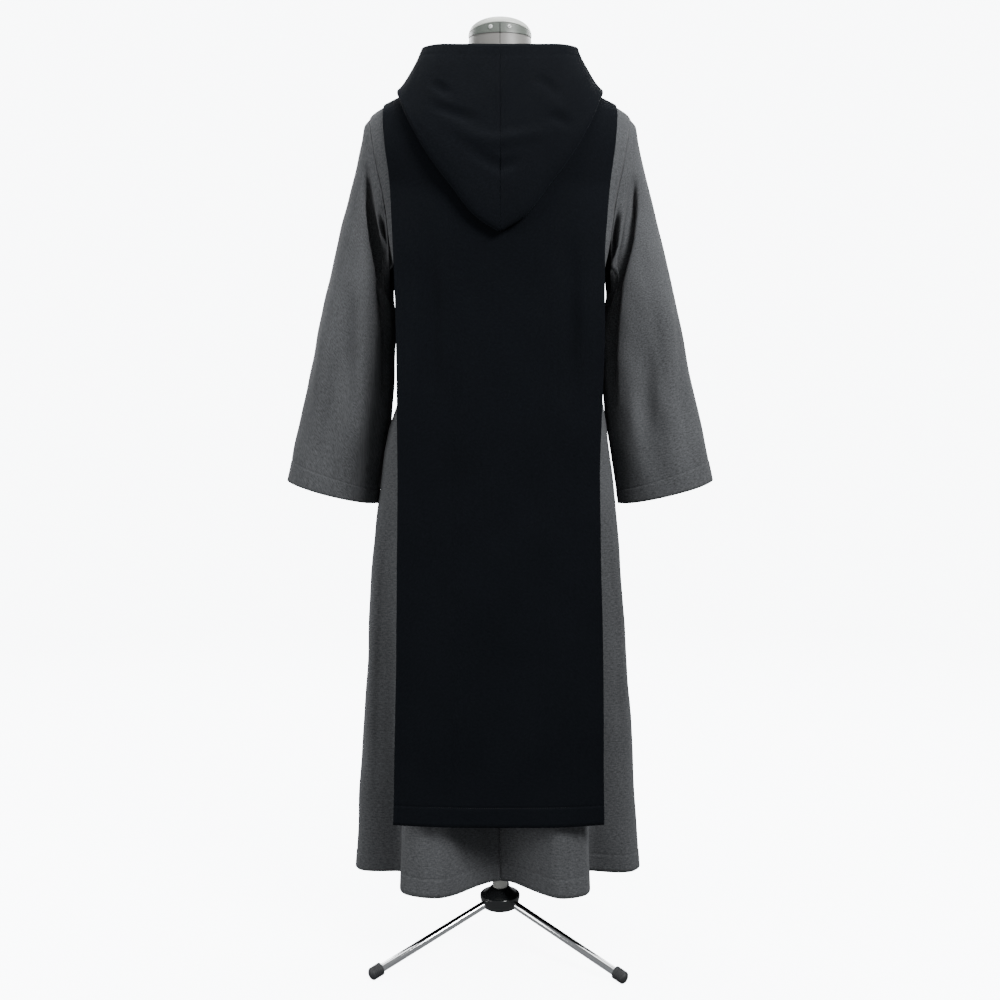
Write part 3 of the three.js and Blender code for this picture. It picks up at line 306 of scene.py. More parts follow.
HOOD_CREASES = [
    (1, 14, -4, [(114, 1522), (100, 1508), (86, 1494)]),
    (1, 16, -5, [(118, 1478), (80, 1462), (38, 1446)]),
    (1, 15, -5, [(-82, 1460), (-104, 1450), (-122, 1438)]),
    (1, 18, -6, [(54, 1400), (26, 1380), (-2, 1366), (-34, 1376)]),
    (1, 20, 4, [(88, 1440), (50, 1420), (10, 1410), (-40, 1418), (-90, 1428)]),
    (1, 14, -3, [(-60, 1530), (-84, 1512), (-104, 1490)]),
    (-1, 16, -4, [(96, 1500), (66, 1482), (36, 1474)]),
    (-1, 16, -4, [(-98, 1502), (-68, 1484), (-34, 1474)]),
]


# --- Curves and surfaces


def curve(rows, key, name):
    """A smooth curve down one column of a table, with no overshoot between its rows."""
    x, y = rows[key], rows[name]
    rise = np.diff(y) / np.diff(x)
    slope = np.empty_like(y)
    slope[0], slope[-1] = rise[0], rise[-1]
    before, after = rise[:-1], rise[1:]
    total = np.where(before + after == 0, 1, before + after)
    slope[1:-1] = np.where(before * after <= 0, 0, 2 * before * after / total)

    def at(value):
        v = np.clip(value, x[0], x[-1])
        i = np.searchsorted(x[1:-1], v, side="left")
        h = x[i + 1] - x[i]
        t = (v - x[i]) / h
        low = y[i] * (1 + 2 * t) * (1 - t) ** 2 + slope[i] * h * t * (1 - t) ** 2
        return low + y[i + 1] * t * t * (3 - 2 * t) + slope[i + 1] * h * t * t * (t - 1)

    return at


def curves(rows, key):
    """Every column of a table as a curve."""
    return {name: curve(rows, key, name) for name in rows if name != key}


TUNIC_AT = curves(TUNIC, "level")
ARMHOLE_AT = curves(ARMHOLE, "level")
SLEEVE_AT = curves(SLEEVE, "ring")
CLOSER_AT = {side: curves(rows, "ring") for side, rows in SLEEVE_CLOSER.items()}
SCAPULAR_AT = curves(SCAPULAR, "level")
HOOD_AT = curves(HOOD, "turn")
FORM_AT = curves(FORM, "z")


def mix(a, b, t):
    """From a to b by a share."""
    return a + (b - a) * t


def soft(t):
    """A smooth step from nought to one."""
    s = np.clip(t, 0, 1)
    return s * s * (3 - 2 * s)


def bump(t):
    """One in the middle, smoothly down to nought at either side."""
    return np.where(np.abs(t) < 1, np.cos(np.clip(t, -1, 1) * math.pi / 2) ** 2, 0)


def unit(v):
    """A direction one long."""
    return v / np.maximum(np.linalg.norm(v, axis=-1, keepdims=True), 1e-9)


def squared_ring(ring, level, angle, z):
    """A point of a squared ring: angle 0 is the left side, a quarter turn the back."""
    c, s = np.cos(angle), np.sin(angle)
    power = 2 / ring["square"](level)
    wide = np.where(c > 0, ring["left"](level), ring["right"](level))
    side = ring["side"](level)
    deep = np.where(s > 0, ring["back"](level) - side, side - ring["front"](level))
    end = np.where(s > 0, ring["back_z"](level), ring["front_z"](level))
    return np.stack(
        [
            np.sign(c) * wide * np.abs(c) ** power,
            side + np.sign(s) * deep * np.abs(s) ** power,
            z + (end - z) * s * s,
        ],
        -1,
    )


def skirt_fold(angle, level):
    """How far the skirt's folds stand out, growing towards the hem."""
    total = np.zeros(np.broadcast(angle, level).shape)
    for at, half, deep, ends, growth in zip(*SKIRT_FOLDS.values()):
        turn = (np.degrees(angle) - at + 540) % 360 - 180
        grown = np.clip((ends - level) / (ends - HEM_Z), 0, None) ** growth
        total = total + deep * grown * bump(turn / half)
    return total


def tunic_point(angle, level):
    """The tunic's outer surface."""
    p = squared_ring(TUNIC_AT, level, angle, level)
    before = squared_ring(TUNIC_AT, level, angle - 0.02, level)
    after = squared_ring(TUNIC_AT, level, angle + 0.02, level)
    way = after - before
    out = np.stack([way[..., 1], -way[..., 0], np.zeros(p.shape[:-1])], -1)
    return p + unit(out) * skirt_fold(angle, level)[..., None]


def tunic_out(angle, level):
    """Which way the tunic faces."""
    across = tunic_point(angle + 0.004, level) - tunic_point(angle - 0.004, level)
    above, below = np.minimum(level + 2, NECK_Z), np.maximum(level - 2, HEM_Z)
    up = tunic_point(angle, above) - tunic_point(angle, below)
    return unit(np.cross(across, up))


def armhole_angle(level):
    """Where round the tunic its armhole seam lies."""
    share = ARMHOLE_AT["out"](level) / TUNIC_AT["left"](level)
    angle = np.arccos(np.clip(share, 0, 1) ** (TUNIC_AT["square"](level) / 2))
    return np.where((level <= UNDERARM_Z) | (level >= SHOULDER_TIP_Z), 0, angle)


def past_seam(angle, level, way):
    """An angle moved on by half a seam's gap along the cloth."""
    start = tunic_point(angle, level)
    low, high = np.zeros_like(level), np.full_like(level, 0.05)
    for _ in range(30):
        middle = (low + high) / 2
        near = np.linalg.norm(tunic_point(angle + way * middle, level) - start, axis=-1) < SEAM_GAP / 2
        low, high = np.where(near, middle, low), np.where(near, high, middle)
    return angle + way * high


def angle_at(x, level, face):
    """Where round the tunic a distance to the side lies, on its back or its front."""
    wide = np.where(x > 0, TUNIC_AT["left"](level), TUNIC_AT["right"](level))
    angle = np.arccos(np.clip(np.abs(x) / wide, 0, 1) ** (TUNIC_AT["square"](level) / 2))
    return face * np.where(x >= 0, angle, math.pi - angle)


def bisect(low, high, below):
    """The last value in a range for which a test still holds."""
    for _ in range(34):
        middle = (low + high) / 2
        holds = below(middle)
        low, high = np.where(holds, middle, low), np.where(holds, high, middle)
    return low


# The hood and the shoulders of the scapular lie above this height.
LOWEST_LAID = 1200.0


def ridge_level(x):
    """The height of the shoulder line at a distance to the side."""
    start, end = np.full(np.shape(x), float(SHOULDER_TIP_Z)), np.full(np.shape(x), float(NECK_Z))
    return bisect(start, end, lambda level: TUNIC_AT["left"](level) > np.abs(x))


def level_of(x, z, face):
    """The tunic's ring that passes through a height at a distance to the side."""
    start = np.full(np.shape(x), LOWEST_LAID)
    end = np.minimum(NECK_Z, ridge_level(x))
    return bisect(start, end, lambda level: tunic_point(angle_at(x, level, face), level)[..., 2] < z)


SCAPULAR_RISE = LAYER_GAP + SCAPULAR_WALL
SHOULDER_PUFF, NECK_PUFF, SCAPULAR_NECK_DROP = 2.2, 0.5, 3


def scapular_point(across, level, face, rise=SCAPULAR_RISE):
    """The scapular's outer face, or what lies a little over it."""
    x = across * np.where(across > 0, SCAPULAR_AT["left"](level), SCAPULAR_AT["right"](level))
    angle = angle_at(x, level, face)
    at_neck = 1 + NECK_PUFF * soft((level - 1535) / 20)
    puffed = SHOULDER_PUFF * at_neck * soft((190 - np.abs(x)) / 60) * soft((level - 1440) / 40)
    lying = tunic_point(angle, level) + tunic_out(angle, level) * (rise + puffed)[..., None]
    middle = np.where(face > 0, SCAPULAR_AT["back"](level), SCAPULAR_AT["front"](level))
    edge = np.where(face > 0, SCAPULAR_AT["back_edge"](level), SCAPULAR_AT["front_edge"](level))
    hanging = mix(middle, edge, np.abs(across) ** 2.4)
    for side, at, half, deep, top, bottom in zip(*SCAPULAR_TROUGHS.values()):
        along = (level - bottom) / (top - bottom)
        hanging = hanging - (side == face) * face * deep * bump((x - at) / half) * bump(2 * along - 1)
    hanging = hanging + face * (rise - SCAPULAR_RISE)
    free = soft((1460 - level) / 160)
    out = np.maximum(0, face * (hanging - lying[..., 1])) * free
    return np.stack(
        [
            mix(lying[..., 0], x, free),
            lying[..., 1] + face * out,
            mix(lying[..., 2], level, soft((1300 - level) / 100)),
        ],
        -1,
    )


HOOD_RISE = SCAPULAR_RISE + LAYER_GAP + 1.9
HOOD_SEWN = 1.5
RIDGE_TURN = 0.56


def hood_under(turn, share, rise=HOOD_RISE):
    """The hood's under layer: a share of the way from the neck seam to the fold."""
    face = np.where(turn <= RIDGE_TURN, 1, -1)
    past = np.where(face > 0, 1 - turn / RIDGE_TURN, (turn - RIDGE_TURN) / (1 - RIDGE_TURN))
    neck = tunic_point(face * past * math.pi / 2, np.full(np.shape(turn), float(NECK_Z)))
    x = mix(neck[..., 0], HOOD_AT["fold_x"](turn), share)
    level = level_of(x, mix(neck[..., 2], HOOD_AT["fold_z"](turn), share), face)
    angle = angle_at(x, level, face)
    p = tunic_point(angle, level) + tunic_out(angle, level) * np.asarray(rise + SHOULDER_PUFF)[..., None]
    under = scapular_point(x / SCAPULAR_AT["left"](level), level, face, rise * np.ones_like(level))
    p[..., 1] = np.where(np.abs(under[..., 1]) > np.abs(p[..., 1]), under[..., 1], p[..., 1])
    return p


def hood_surface(turns, under_rows, roll_rows, outer_rows):
    """Half of the hood: rows run from the neck seam down the under layer, round the fold, up to the rim."""
    rows = []
    for k in range(under_rows + 1):
        t = k / under_rows * 0.96
        sewn = HOOD_SEWN * (1 - soft(t / 0.12))
        rows.append(hood_under(turns, t, HOOD_RISE - sewn))
    fold = hood_under(turns, 1.0)
    out = unit(hood_under(turns, 1.0, HOOD_RISE + 10) - fold)
    crease = hood_under(np.minimum(1, turns + 0.012), 1.0) - hood_under(np.maximum(0, turns - 0.012), 1.0)
    crease[0], crease[-1] = (1, 0, 0), (-1, 0, 0)
    on = unit(np.cross(out, crease))
    roll = HOOD_AT["roll"](turns)[:, None]
    for k in range(roll_rows):
        a = math.radians(30 + 120 * k / (roll_rows - 1))
        rows.append(fold + on * roll * math.sin(a) + out * roll * (1 - math.cos(a)))
    start = fold + out * 2 * roll
    rim = np.stack([HOOD_AT["rim_x"](turns), HOOD_AT["rim_y"](turns), HOOD_AT["rim_z"](turns)], -1)
    for k in range(outer_rows + 1):
        t = k / outer_rows
        puff = HOOD_AT["puff"](turns) * math.sin(math.pi * t**0.8)
        rows.append(mix(start, rim, t) + out * puff[:, None])
    p = np.stack(rows)
    p[:, 0, 0] = SEAM_GAP / 2
    p[:, -1, 0] = np.maximum(p[:, -1, 0], SEAM_GAP / 2)
    return p


def form_point(angle, z):
    """The dress form's surface."""
    ring = dict(FORM_AT, left=FORM_AT["half"], right=FORM_AT["half"], side=lambda level: 0 * level)
    return squared_ring(ring, z, angle, z)


# --- Cloth


def normals(p):
    """Which way a grid of points faces, before its rows are turned."""
    across = np.gradient(p, axis=1)
    up = np.gradient(p, axis=0)
    return unit(np.cross(across, up))


def creased(p, out, creases, face):
    """Troughs and ridges pressed into a grid of points along what faces out."""
    total = np.zeros(p.shape[:2])
    xz = p[..., (0, 2)]
    for side, half, deep, points in creases:
        line = np.array(points, float)
        steps = np.linalg.norm(np.diff(line, axis=0), axis=1)
        begins = np.concatenate([[0], np.cumsum(steps)])
        nearest = np.full(p.shape[:2], 1e9)
        along = np.zeros(p.shape[:2])
        for i, step in enumerate(steps):
            way = (line[i + 1] - line[i]) / step
            t = np.clip(((xz - line[i]) * way).sum(-1), 0, step)
            gap = np.linalg.norm(xz - line[i] - t[..., None] * way, axis=-1)
            along = np.where(gap < nearest, (begins[i] + t) / begins[-1], along)
            nearest = np.minimum(gap, nearest)
        taper = np.sin(math.pi * np.clip(along, 0.02, 0.98)) ** 0.7
        total += deep * taper * bump(nearest / half) * soft(0.5 + side * face * 2)
    return p + out * total[..., None]


def rumpled(p, out, height, reach):
    """A slight unevenness over the whole cloth."""
    x, y, z = p[..., 0] / reach, p[..., 1] / reach, p[..., 2] / reach
    wave = np.sin(1.7 * x + 0.6 * z + 1.3 * np.sin(0.9 * z + 0.5 * y))
    wave = wave * np.sin(0.8 * z + 1.1 * y + np.sin(1.3 * x))
    wave = wave + 0.5 * np.sin(3.9 * x - 1.1 * z + 2 * np.sin(1.4 * y)) * np.cos(2.3 * z + 1.9 * y)
    return p + out * (height * wave)[..., None]


def hemmed(p, out, distance, depth):
    """A turned-up hem: a slightly raised band with the stitch line pressed in at its upper edge."""
    band = HEM_LIFT * soft((depth - distance) / 2.5)
    line = -HEM_PRESS * bump((distance - depth) / 3.2)
    return p + out * (band + line)[..., None]


def finished(bm, name, finish):
    """An object at the origin from a mesh being built."""
    mesh = bpy.data.meshes.new(name)
    bm.to_mesh(mesh)
    bm.free()
    mesh.materials.append(finish)
    piece = bpy.data.objects.new(name, mesh)
    bpy.context.scene.collection.objects.link(piece)
    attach(piece, "root")
    return piece


def grid_mesh(placed):
    """A mesh over a grid of points in metres, and the row and column of each of its corners."""
    rows, columns = placed.shape[:2]
    bm = bmesh.new()
    bmesh.ops.create_grid(bm, x_segments=columns - 1, y_segments=rows - 1, size=1)
    bm.verts.index_update()
    places = []
    for vert in bm.verts:
        i = round((vert.co.y + 1) / 2 * (rows - 1))
        j = round((vert.co.x + 1) / 2 * (columns - 1))
        places.append((i, j))
        vert.co = placed[i, j]
    return bm, places


def in_place(p):
    """Points about the pole in millimetres, as metres in the part's frame."""
    return (p + (0, STAND_Y, 0)) / 1000


def cloth_piece(name, points, facing, finish, closed=False):
    """A piece of cloth from a grid of points, with a map along and across its threads."""
    if (normals(points) * facing).sum() < 0:
        points = points[::-1]
    rows, columns = points.shape[:2]
    placed = in_place(points)
    across = np.linalg.norm(np.diff(placed, axis=1), axis=-1)
    along = np.linalg.norm(np.diff(placed, axis=0), axis=-1)
    u = np.concatenate([np.zeros((rows, 1)), np.cumsum(across, axis=1)], axis=1)
    u = u - u[:, columns // 2][:, None]
    v = np.concatenate([np.zeros((1, columns)), np.cumsum(along, axis=0)], axis=0)
    bm, places = grid_mesh(placed)
    threads = bm.loops.layers.uv.new("Threads")
    for face in bm.faces:
        face.smooth = True
        for loop in face.loops:
            i, j = places[loop.vert.index]
            loop[threads].uv = (u[i, j], v[i, j])
    if closed:
        bmesh.ops.remove_doubles(bm, verts=bm.verts, dist=1e-5)
    piece = finished(bm, name, finish)
    shell = piece.modifiers.new("Wall", "SOLIDIFY")
    shell.thickness = bpy.context.scene.habit_cloth.wall
    shell.offset = -1
    shell.use_even_offset = False
    return piece


def spaced(start, end, count, dense=()):
    """Evenly spaced values, closer together near each of a few values."""
    fine = np.linspace(start, end, 2001)
    weight = np.ones_like(fine)
    for at, reach, more in dense:
        weight += more * np.exp(-(((fine - at) / reach) ** 2))
    total = np.cumsum(weight)
    total = (total - total[0]) / (total[-1] - total[0])
    return np.interp(np.linspace(0, 1, count), total, fine)


def pressed(distance, reach):
    """One on a seam, fading out beside it."""
    return np.exp(-((distance / reach) ** 2))


BODY_LEVELS = spaced(HEM_Z, NECK_Z, 210, [(HEM_Z + HEM_DEPTH, 10, 3), (1500, 40, 1.5)])


def tunic_panel(name, edges, columns, finish):
    """A panel of the tunic, between two seams."""
    start, end = edges(BODY_LEVELS)
    share = np.linspace(0, 1, columns)[None, :]
    angle = start[:, None] + (end - start)[:, None] * share
    level = BODY_LEVELS[:, None] + 0 * share
    out = tunic_out(angle, level)
    p = creased(tunic_point(angle, level), out, TUNIC_CREASES, np.sin(angle))
    free = soft((1120 - level) / 200)
    p = rumpled(p, out * free[..., None], *TUNIC_RUMPLE)
    seam = np.minimum(share, 1 - share) * np.linalg.norm(np.diff(p, axis=1), axis=-1).sum(1)[:, None]
    p = p - out * (1.1 * pressed(seam, 3.2))[..., None]
    p = hemmed(p, out, level - HEM_Z, HEM_DEPTH)
    return cloth_piece(name, p, out, finish)


def sleeve_surface(side, around, rings):
    """A sleeve: columns run round from the underarm seam, rows from the armhole to the cuff."""
    psi = np.linspace(0, 2 * math.pi, around)[None, :]
    ring = rings[:, None] + 0 * psi
    across = (1 - np.cos(psi)) / 2 + 0 * ring
    face = np.where(psi <= math.pi, 1, -1) + 0 * ring
    swell = np.abs(np.sin(psi)) ** 0.86
    depth = SLEEVE_AT["depth"](ring) * swell
    for on, at, span, place, width, deep in zip(*SLEEVE_FOLDS[side].values()):
        depth = depth + (face == on) * deep * bump((ring - at) / span) * bump((across - place) / width)
    inner = SLEEVE_AT["in_x"](ring) - CLOSER_AT[side]["closer"](ring)
    p = np.stack(
        [
            mix(inner, SLEEVE_AT["out_x"](ring), across),
            SLEEVE_AT["middle"](ring) + face * depth,
            mix(SLEEVE_AT["in_z"](ring), SLEEVE_AT["out_z"](ring), across) - SLEEVE_AT["sag"](ring) * swell,
        ],
        -1,
    )
    level = mix(UNDERARM_Z, SHOULDER_TIP_Z, across[0])
    seam = tunic_point(armhole_angle(level) * face[0], level)
    seam[:, 0] += SEAM_GAP
    cap = np.clip(1 - ring, 0, 1)[..., None]
    p = mix(p, seam[None], soft(cap))
    centre = p[:, :-1].mean(axis=1, keepdims=True)
    out = normals(np.concatenate([p[:, -3:-1], p, p[:, 1:3]], axis=1))[:, 2:-2]
    out = out * np.where((out * (p - centre)).sum() > 0, 1, -1)
    flip = np.array([side, 1, 1])
    p, out = p * flip, out * flip
    p = creased(p, out, SLEEVE_CREASES[side], face * np.abs(np.sin(np.arccos(1 - 2 * across))) ** 0.5)
    p = rumpled(p, out * soft(ring)[..., None], *SLEEVE_RUMPLE)
    return p, out, ring, across


def sleeve(name, side, finish):
    """A sleeve with its seams pressed in and its cuff turned up."""
    rings = spaced(0, RINGS, 120, [(0, 0.6, 3), (9.35, 0.25, 2.5)])
    p, out, ring, across = sleeve_surface(side, 121, rings)
    under = across * 160
    p = p - out * (1.2 * pressed(under, 2.2) * soft(ring))[..., None]
    p = p - out * (1.0 * pressed(ring, 0.05))[..., None]
    p = hemmed(p, out, (RINGS - ring) * RING_LENGTH, CUFF_HEM)
    p[:, -1] = p[:, 0]
    return cloth_piece(name, p, out, finish, closed=True)


def scapular_surface(face):
    """The scapular's back or front: rows run down from the shoulder line."""
    share = spaced(-1, 1, SCAPULAR_COLUMNS, [(-1, 0.03, 2), (1, 0.03, 2)])
    top = np.minimum(NECK_Z - SCAPULAR_NECK_DROP, ridge_level(share * SCAPULAR["left"][-1]))
    hem_line = (1 - SCAPULAR_HEM / 1300, 0.008, 5)
    t = spaced(0, 1, SCAPULAR_ROWS, [(0, 0.06, 2), hem_line])[:, None]
    level = top[None, :] + (SCAPULAR_HEM_Z - top[None, :]) * t
    across = share[None, :] + 0 * level
    p = scapular_point(across, level, face)
    p[0, :, 1] += face * SEAM_GAP / 2
    out = normals(p)
    out = out * np.where((out[..., 1] * face).sum() > 0, 1, -1)
    free = out * soft((1340 - level) / 160)[..., None]
    p = creased(p, free, SCAPULAR_CREASES, face + 0 * across)
    p = rumpled(p, free, *SCAPULAR_RUMPLE)
    return p, out, across, level


def scapular_panel(name, face, finish):
    """The scapular's back or front with its side edges stitched and its hem turned up."""
    p, out, across, level = scapular_surface(face)
    edge = (1 - np.abs(across)) * 178
    p = p - out * (0.5 * bump((edge - 9) / 3.0) * soft((1500 - level) / 60))[..., None]
    p = hemmed(p, out, level - SCAPULAR_HEM_Z, SCAPULAR_HEM)
    return cloth_piece(name, p, out, finish)


def hood_half(name, side, turns, surface, finish):
    """Half of the hood, its middle seam, the stitching beside it and the line under its rim pressed in."""
    flip = np.array([side, 1, 1])
    p, out = surface * flip, -normals(surface) * flip
    rows = p.shape[0]
    outer = soft((np.arange(rows) - HOOD_ROWS[0] - HOOD_ROWS[1] - 3) / 6)[:, None]
    rim = (1 - np.clip((rows - 1 - np.arange(rows)) / HOOD_ROWS[2], 0, 1))[:, None]
    face = np.where(turns <= RIDGE_TURN, 1, -1)[None, :] + 0 * outer
    p = creased(p, out * outer[..., None], HOOD_CREASES, face)
    p = rumpled(p, out * (outer * (1 - rim**8))[..., None], *HOOD_RUMPLE)
    middle = np.abs(p[..., 0])
    p = p - out * (outer * 0.9 * pressed(middle, 2.2))[..., None]
    p = p - out * (outer * 0.5 * bump((middle - 5.5) / 1.8))[..., None]
    top = np.cumsum(np.linalg.norm(np.diff(p[::-1], axis=0), axis=-1), axis=0)[::-1]
    top = np.concatenate([top, np.zeros((1, p.shape[1]))])
    p = p - out * (outer * 0.6 * bump((top - 22) / 3))[..., None]
    return cloth_piece(name, p, out, finish)


def stitch_row(bm, points, out):
    """Stitches along a line of points, pressed a little into what faces out."""
    length, gap, thick = STITCH
    points = points - out * HEM_PRESS
    steps = np.linalg.norm(np.diff(points, axis=0), axis=1)
    begins = np.concatenate([[0], np.cumsum(steps)])
    for at in np.arange(gap, begins[-1] - length, length + gap):
        a = np.array([np.interp(at, begins, points[:, i]) for i in range(3)])
        b = np.array([np.interp(at + length, begins, points[:, i]) for i in range(3)])
        up = np.array([np.interp(at + length / 2, begins, out[:, i]) for i in range(3)])
        way = Vector(unit(b - a))
        up = Vector(unit(up - np.dot(up, way) * np.array(way)))
        turn = Matrix((way, way.cross(up), up)).transposed().to_4x4()
        middle = in_place((a + b) / 2 + np.array(up) * thick * 0.2)
        place = Matrix.Translation(middle) @ turn
        place = place @ Matrix.Diagonal((length / 2000, thick / 2000, thick / 2600, 1))
        bmesh.ops.create_icosphere(bm, subdivisions=1, radius=1, matrix=place)


# --- Turned pieces


def spun(profile, steps):
    """A mesh spun round the upright axis from a profile of reach and height in metres."""
    bm = bmesh.new()
    verts = [bm.verts.new((r, 0, z)) for r, z in profile]
    edges = [bm.edges.new(pair) for pair in zip(verts, verts[1:])]
    bmesh.ops.spin(
        bm, geom=verts + edges, axis=(0, 0, 1), cent=(0, 0, 0), angle=2 * math.pi, steps=steps,
        use_merge=True,
    )
    bmesh.ops.remove_doubles(bm, verts=bm.verts, dist=1e-6)
    return bm


def smoothed(bm, sharpest):
    """Smooth faces, but for the edges that turn by more than an angle in degrees."""
    bmesh.ops.recalc_face_normals(bm, faces=bm.faces)
    for face in bm.faces:
        face.smooth = True
    for edge in bm.edges:
        if len(edge.link_faces) == 2 and edge.calc_face_angle(0) > math.radians(sharpest):
            edge.smooth = False


def turned(name, profile, finish, steps, place=None, cut_floor=False):
    """A closed piece spun from a profile of reach and height, then set in its place."""
    bm = spun([(r / 1000, z / 1000) for r, z in profile], steps)
    if place is not None:
        bmesh.ops.transform(bm, matrix=place, verts=bm.verts)
    bmesh.ops.translate(bm, vec=(0, STAND_Y / 1000, 0), verts=bm.verts)
    if cut_floor:
        geometry = bm.verts[:] + bm.edges[:] + bm.faces[:]
        bmesh.ops.bisect_plane(bm, geom=geometry, plane_co=(0, 0, 0), plane_no=(0, 0, -1), clear_outer=True)
        bmesh.ops.holes_fill(bm, edges=[edge for edge in bm.edges if edge.is_boundary], sides=0)
    smoothed(bm, 38)
    return finished(bm, name, finish)


def rounded(profile, radius, segments=4):
    """A profile whose inner corners are rounded off."""
    points = [np.array(p, float) for p in profile]
    result = [points[0]]
    for before, corner, after in zip(points, points[1:], points[2:]):
        a, b = before - corner, after - corner
        reach = min(radius, 0.45 * np.linalg.norm(a), 0.45 * np.linalg.norm(b))
        a, b = corner + unit(a) * reach, corner + unit(b) * reach
        for k in range(segments + 1):
            t = k / segments
            result.append((1 - t) ** 2 * a + 2 * t * (1 - t) * corner + t * t * b)
    result.append(points[-1])
    return [tuple(p) for p in result]


# --- Materials


def node(tree, kind, **values):
    """A node with its sockets or settings given by name."""
    made = tree.nodes.new(kind)
    for name, value in values.items():
        if name in made.inputs:
            made.inputs[name].default_value = value
        else:
            setattr(made, name, value)
    return made


def maths(tree, operation, *values, clamp=False):
    """A sum on links and numbers."""
    made = node(tree, "ShaderNodeMath", operation=operation, use_clamp=clamp)
    for socket, value in zip(made.inputs, values):
        if isinstance(value, float):
            socket.default_value = value
        else:
            tree.links.new(value, socket)
    return made.outputs[0]


def noise(tree, vector, scale, detail, **values):
    made = node(tree, "ShaderNodeTexNoise", Scale=scale, Detail=detail, **values)
    tree.links.new(vector, made.inputs["Vector"])
    return made.outputs["Fac"]


def stretched(tree, vector, scale):
    made = node(tree, "ShaderNodeMapping", Scale=scale)
    tree.links.new(vector, made.inputs["Vector"])
    return made.outputs[0]


def blend(tree, share, a, b):
    """A mix of two colours, each a link or a value."""
    made = node(tree, "ShaderNodeMix", data_type="RGBA")
    tree.links.new(share, made.inputs["Factor"])
    for name, colour in (("A", a), ("B", b)):
        if isinstance(colour, tuple):
            made.inputs[name].default_value = (*colour, 1)
        else:
            tree.links.new(colour, made.inputs[name])
    return made.outputs["Result"]


def ranged(tree, value, **limits):
    limits = {name.replace("_", " "): limit for name, limit in limits.items()}
    made = node(tree, "ShaderNodeMapRange", **limits)
    tree.links.new(value, made.inputs["Value"])
    return made.outputs[0]


def bumped(tree, height, strength, distance, under=None):
    made = node(tree, "ShaderNodeBump", Strength=strength, Distance=distance)
    tree.links.new(height, made.inputs["Height"])
    if under is not None:
        tree.links.new(under, made.inputs["Normal"])
    return made.outputs["Normal"]


def on_object(tree):
    return node(tree, "ShaderNodeTexCoord").outputs["Object"]


def weave_group():
    """Threads over and under, with flecks of lighter and darker fibre, along the cloth's own map."""
    name = "Woven threads"
    if name in bpy.data.node_groups:
        return bpy.data.node_groups[name]
    tree = bpy.data.node_groups.new(name, "ShaderNodeTree")
    for label, default in (("Threads per metre", 900.0), ("Flecks", 0.5), ("Shade", 0.1)):
        socket = tree.interface.new_socket(label, in_out="INPUT", socket_type="NodeSocketFloat")
        socket.default_value = default
    for label in ("Dark", "Light"):
        tree.interface.new_socket(label, in_out="INPUT", socket_type="NodeSocketColor")
    for label, kind in (("Color", "Color"), ("Height", "Float"), ("Roughness", "Float")):
        tree.interface.new_socket(label, in_out="OUTPUT", socket_type="NodeSocket" + kind)
    given = tree.nodes.new("NodeGroupInput").outputs
    result = tree.nodes.new("NodeGroupOutput").inputs
    threads = node(tree, "ShaderNodeUVMap", uv_map="Threads").outputs["UV"]
    split = node(tree, "ShaderNodeSeparateXYZ")
    tree.links.new(threads, split.inputs[0])

    def sine(source, ratio):
        counted = maths(tree, "MULTIPLY", source, given["Threads per metre"])
        return maths(tree, "SINE", maths(tree, "MULTIPLY", counted, ratio))

    twill = sine(maths(tree, "ADD", split.outputs["X"], split.outputs["Y"]), math.pi)
    weft = sine(split.outputs["Y"], 2 * math.pi)
    height = maths(tree, "MULTIPLY_ADD", twill, 0.6, weft)
    flecks = noise(tree, stretched(tree, threads, (1.0, 0.42, 1.0)), 620.0, 3.0, Roughness=0.7)
    slubs = noise(tree, stretched(tree, threads, (0.35, 1.0, 1.0)), 430.0, 2.0, Roughness=0.6)
    fibre = maths(tree, "SUBTRACT", maths(tree, "ADD", flecks, slubs), 1.0)
    broad = noise(tree, on_object(tree), 7.0, 3.0, Roughness=0.5)
    shade = maths(tree, "SUBTRACT", broad, 0.5)
    total = maths(
        tree, "ADD",
        maths(tree, "MULTIPLY", fibre, given["Flecks"]),
        maths(tree, "MULTIPLY", shade, given["Shade"]),
    )
    share = maths(tree, "ADD", total, 0.5, clamp=True)
    tree.links.new(blend(tree, share, given["Dark"], given["Light"]), result["Color"])
    tree.links.new(height, result["Height"])
    tree.links.new(ranged(tree, share, To_Min=0.98, To_Max=0.86), result["Roughness"])
    return tree


def cloth_finish(name, colour, spread, flecks, nap, sheen, sheen_tint, shine):
    """Wool-like cloth with a twill weave, fibre lighter and darker by a spread, and a soft nap."""
    finish = bpy.data.materials.new(name)
    finish.use_nodes = True
    tree = finish.node_tree
    shader = tree.nodes["Principled BSDF"]
    weave = tree.nodes.new("ShaderNodeGroup")
    weave.node_tree = weave_group()
    weave.inputs["Flecks"].default_value = flecks
    weave.inputs["Shade"].default_value = 0.5
    weave.inputs["Dark"].default_value = (*[c * (1 - spread) for c in colour], 1)
    weave.inputs["Light"].default_value = (*[c * (1 + spread) for c in colour], 1)
    tree.links.new(weave.outputs["Color"], shader.inputs["Base Color"])
    tree.links.new(weave.outputs["Roughness"], shader.inputs["Roughness"])
    threads = bumped(tree, weave.outputs["Height"], 0.35, 0.0002)
    fuzz = noise(tree, on_object(tree), 150.0, 4.0, Roughness=0.65)
    tree.links.new(bumped(tree, fuzz, nap, 0.0008, threads), shader.inputs["Normal"])
    shader.inputs["Specular IOR Level"].default_value = shine
    shader.inputs["Sheen Weight"].default_value = sheen
    shader.inputs["Sheen Roughness"].default_value = 0.55
    shader.inputs["Sheen Tint"].default_value = (*sheen_tint, 1)
    return finish


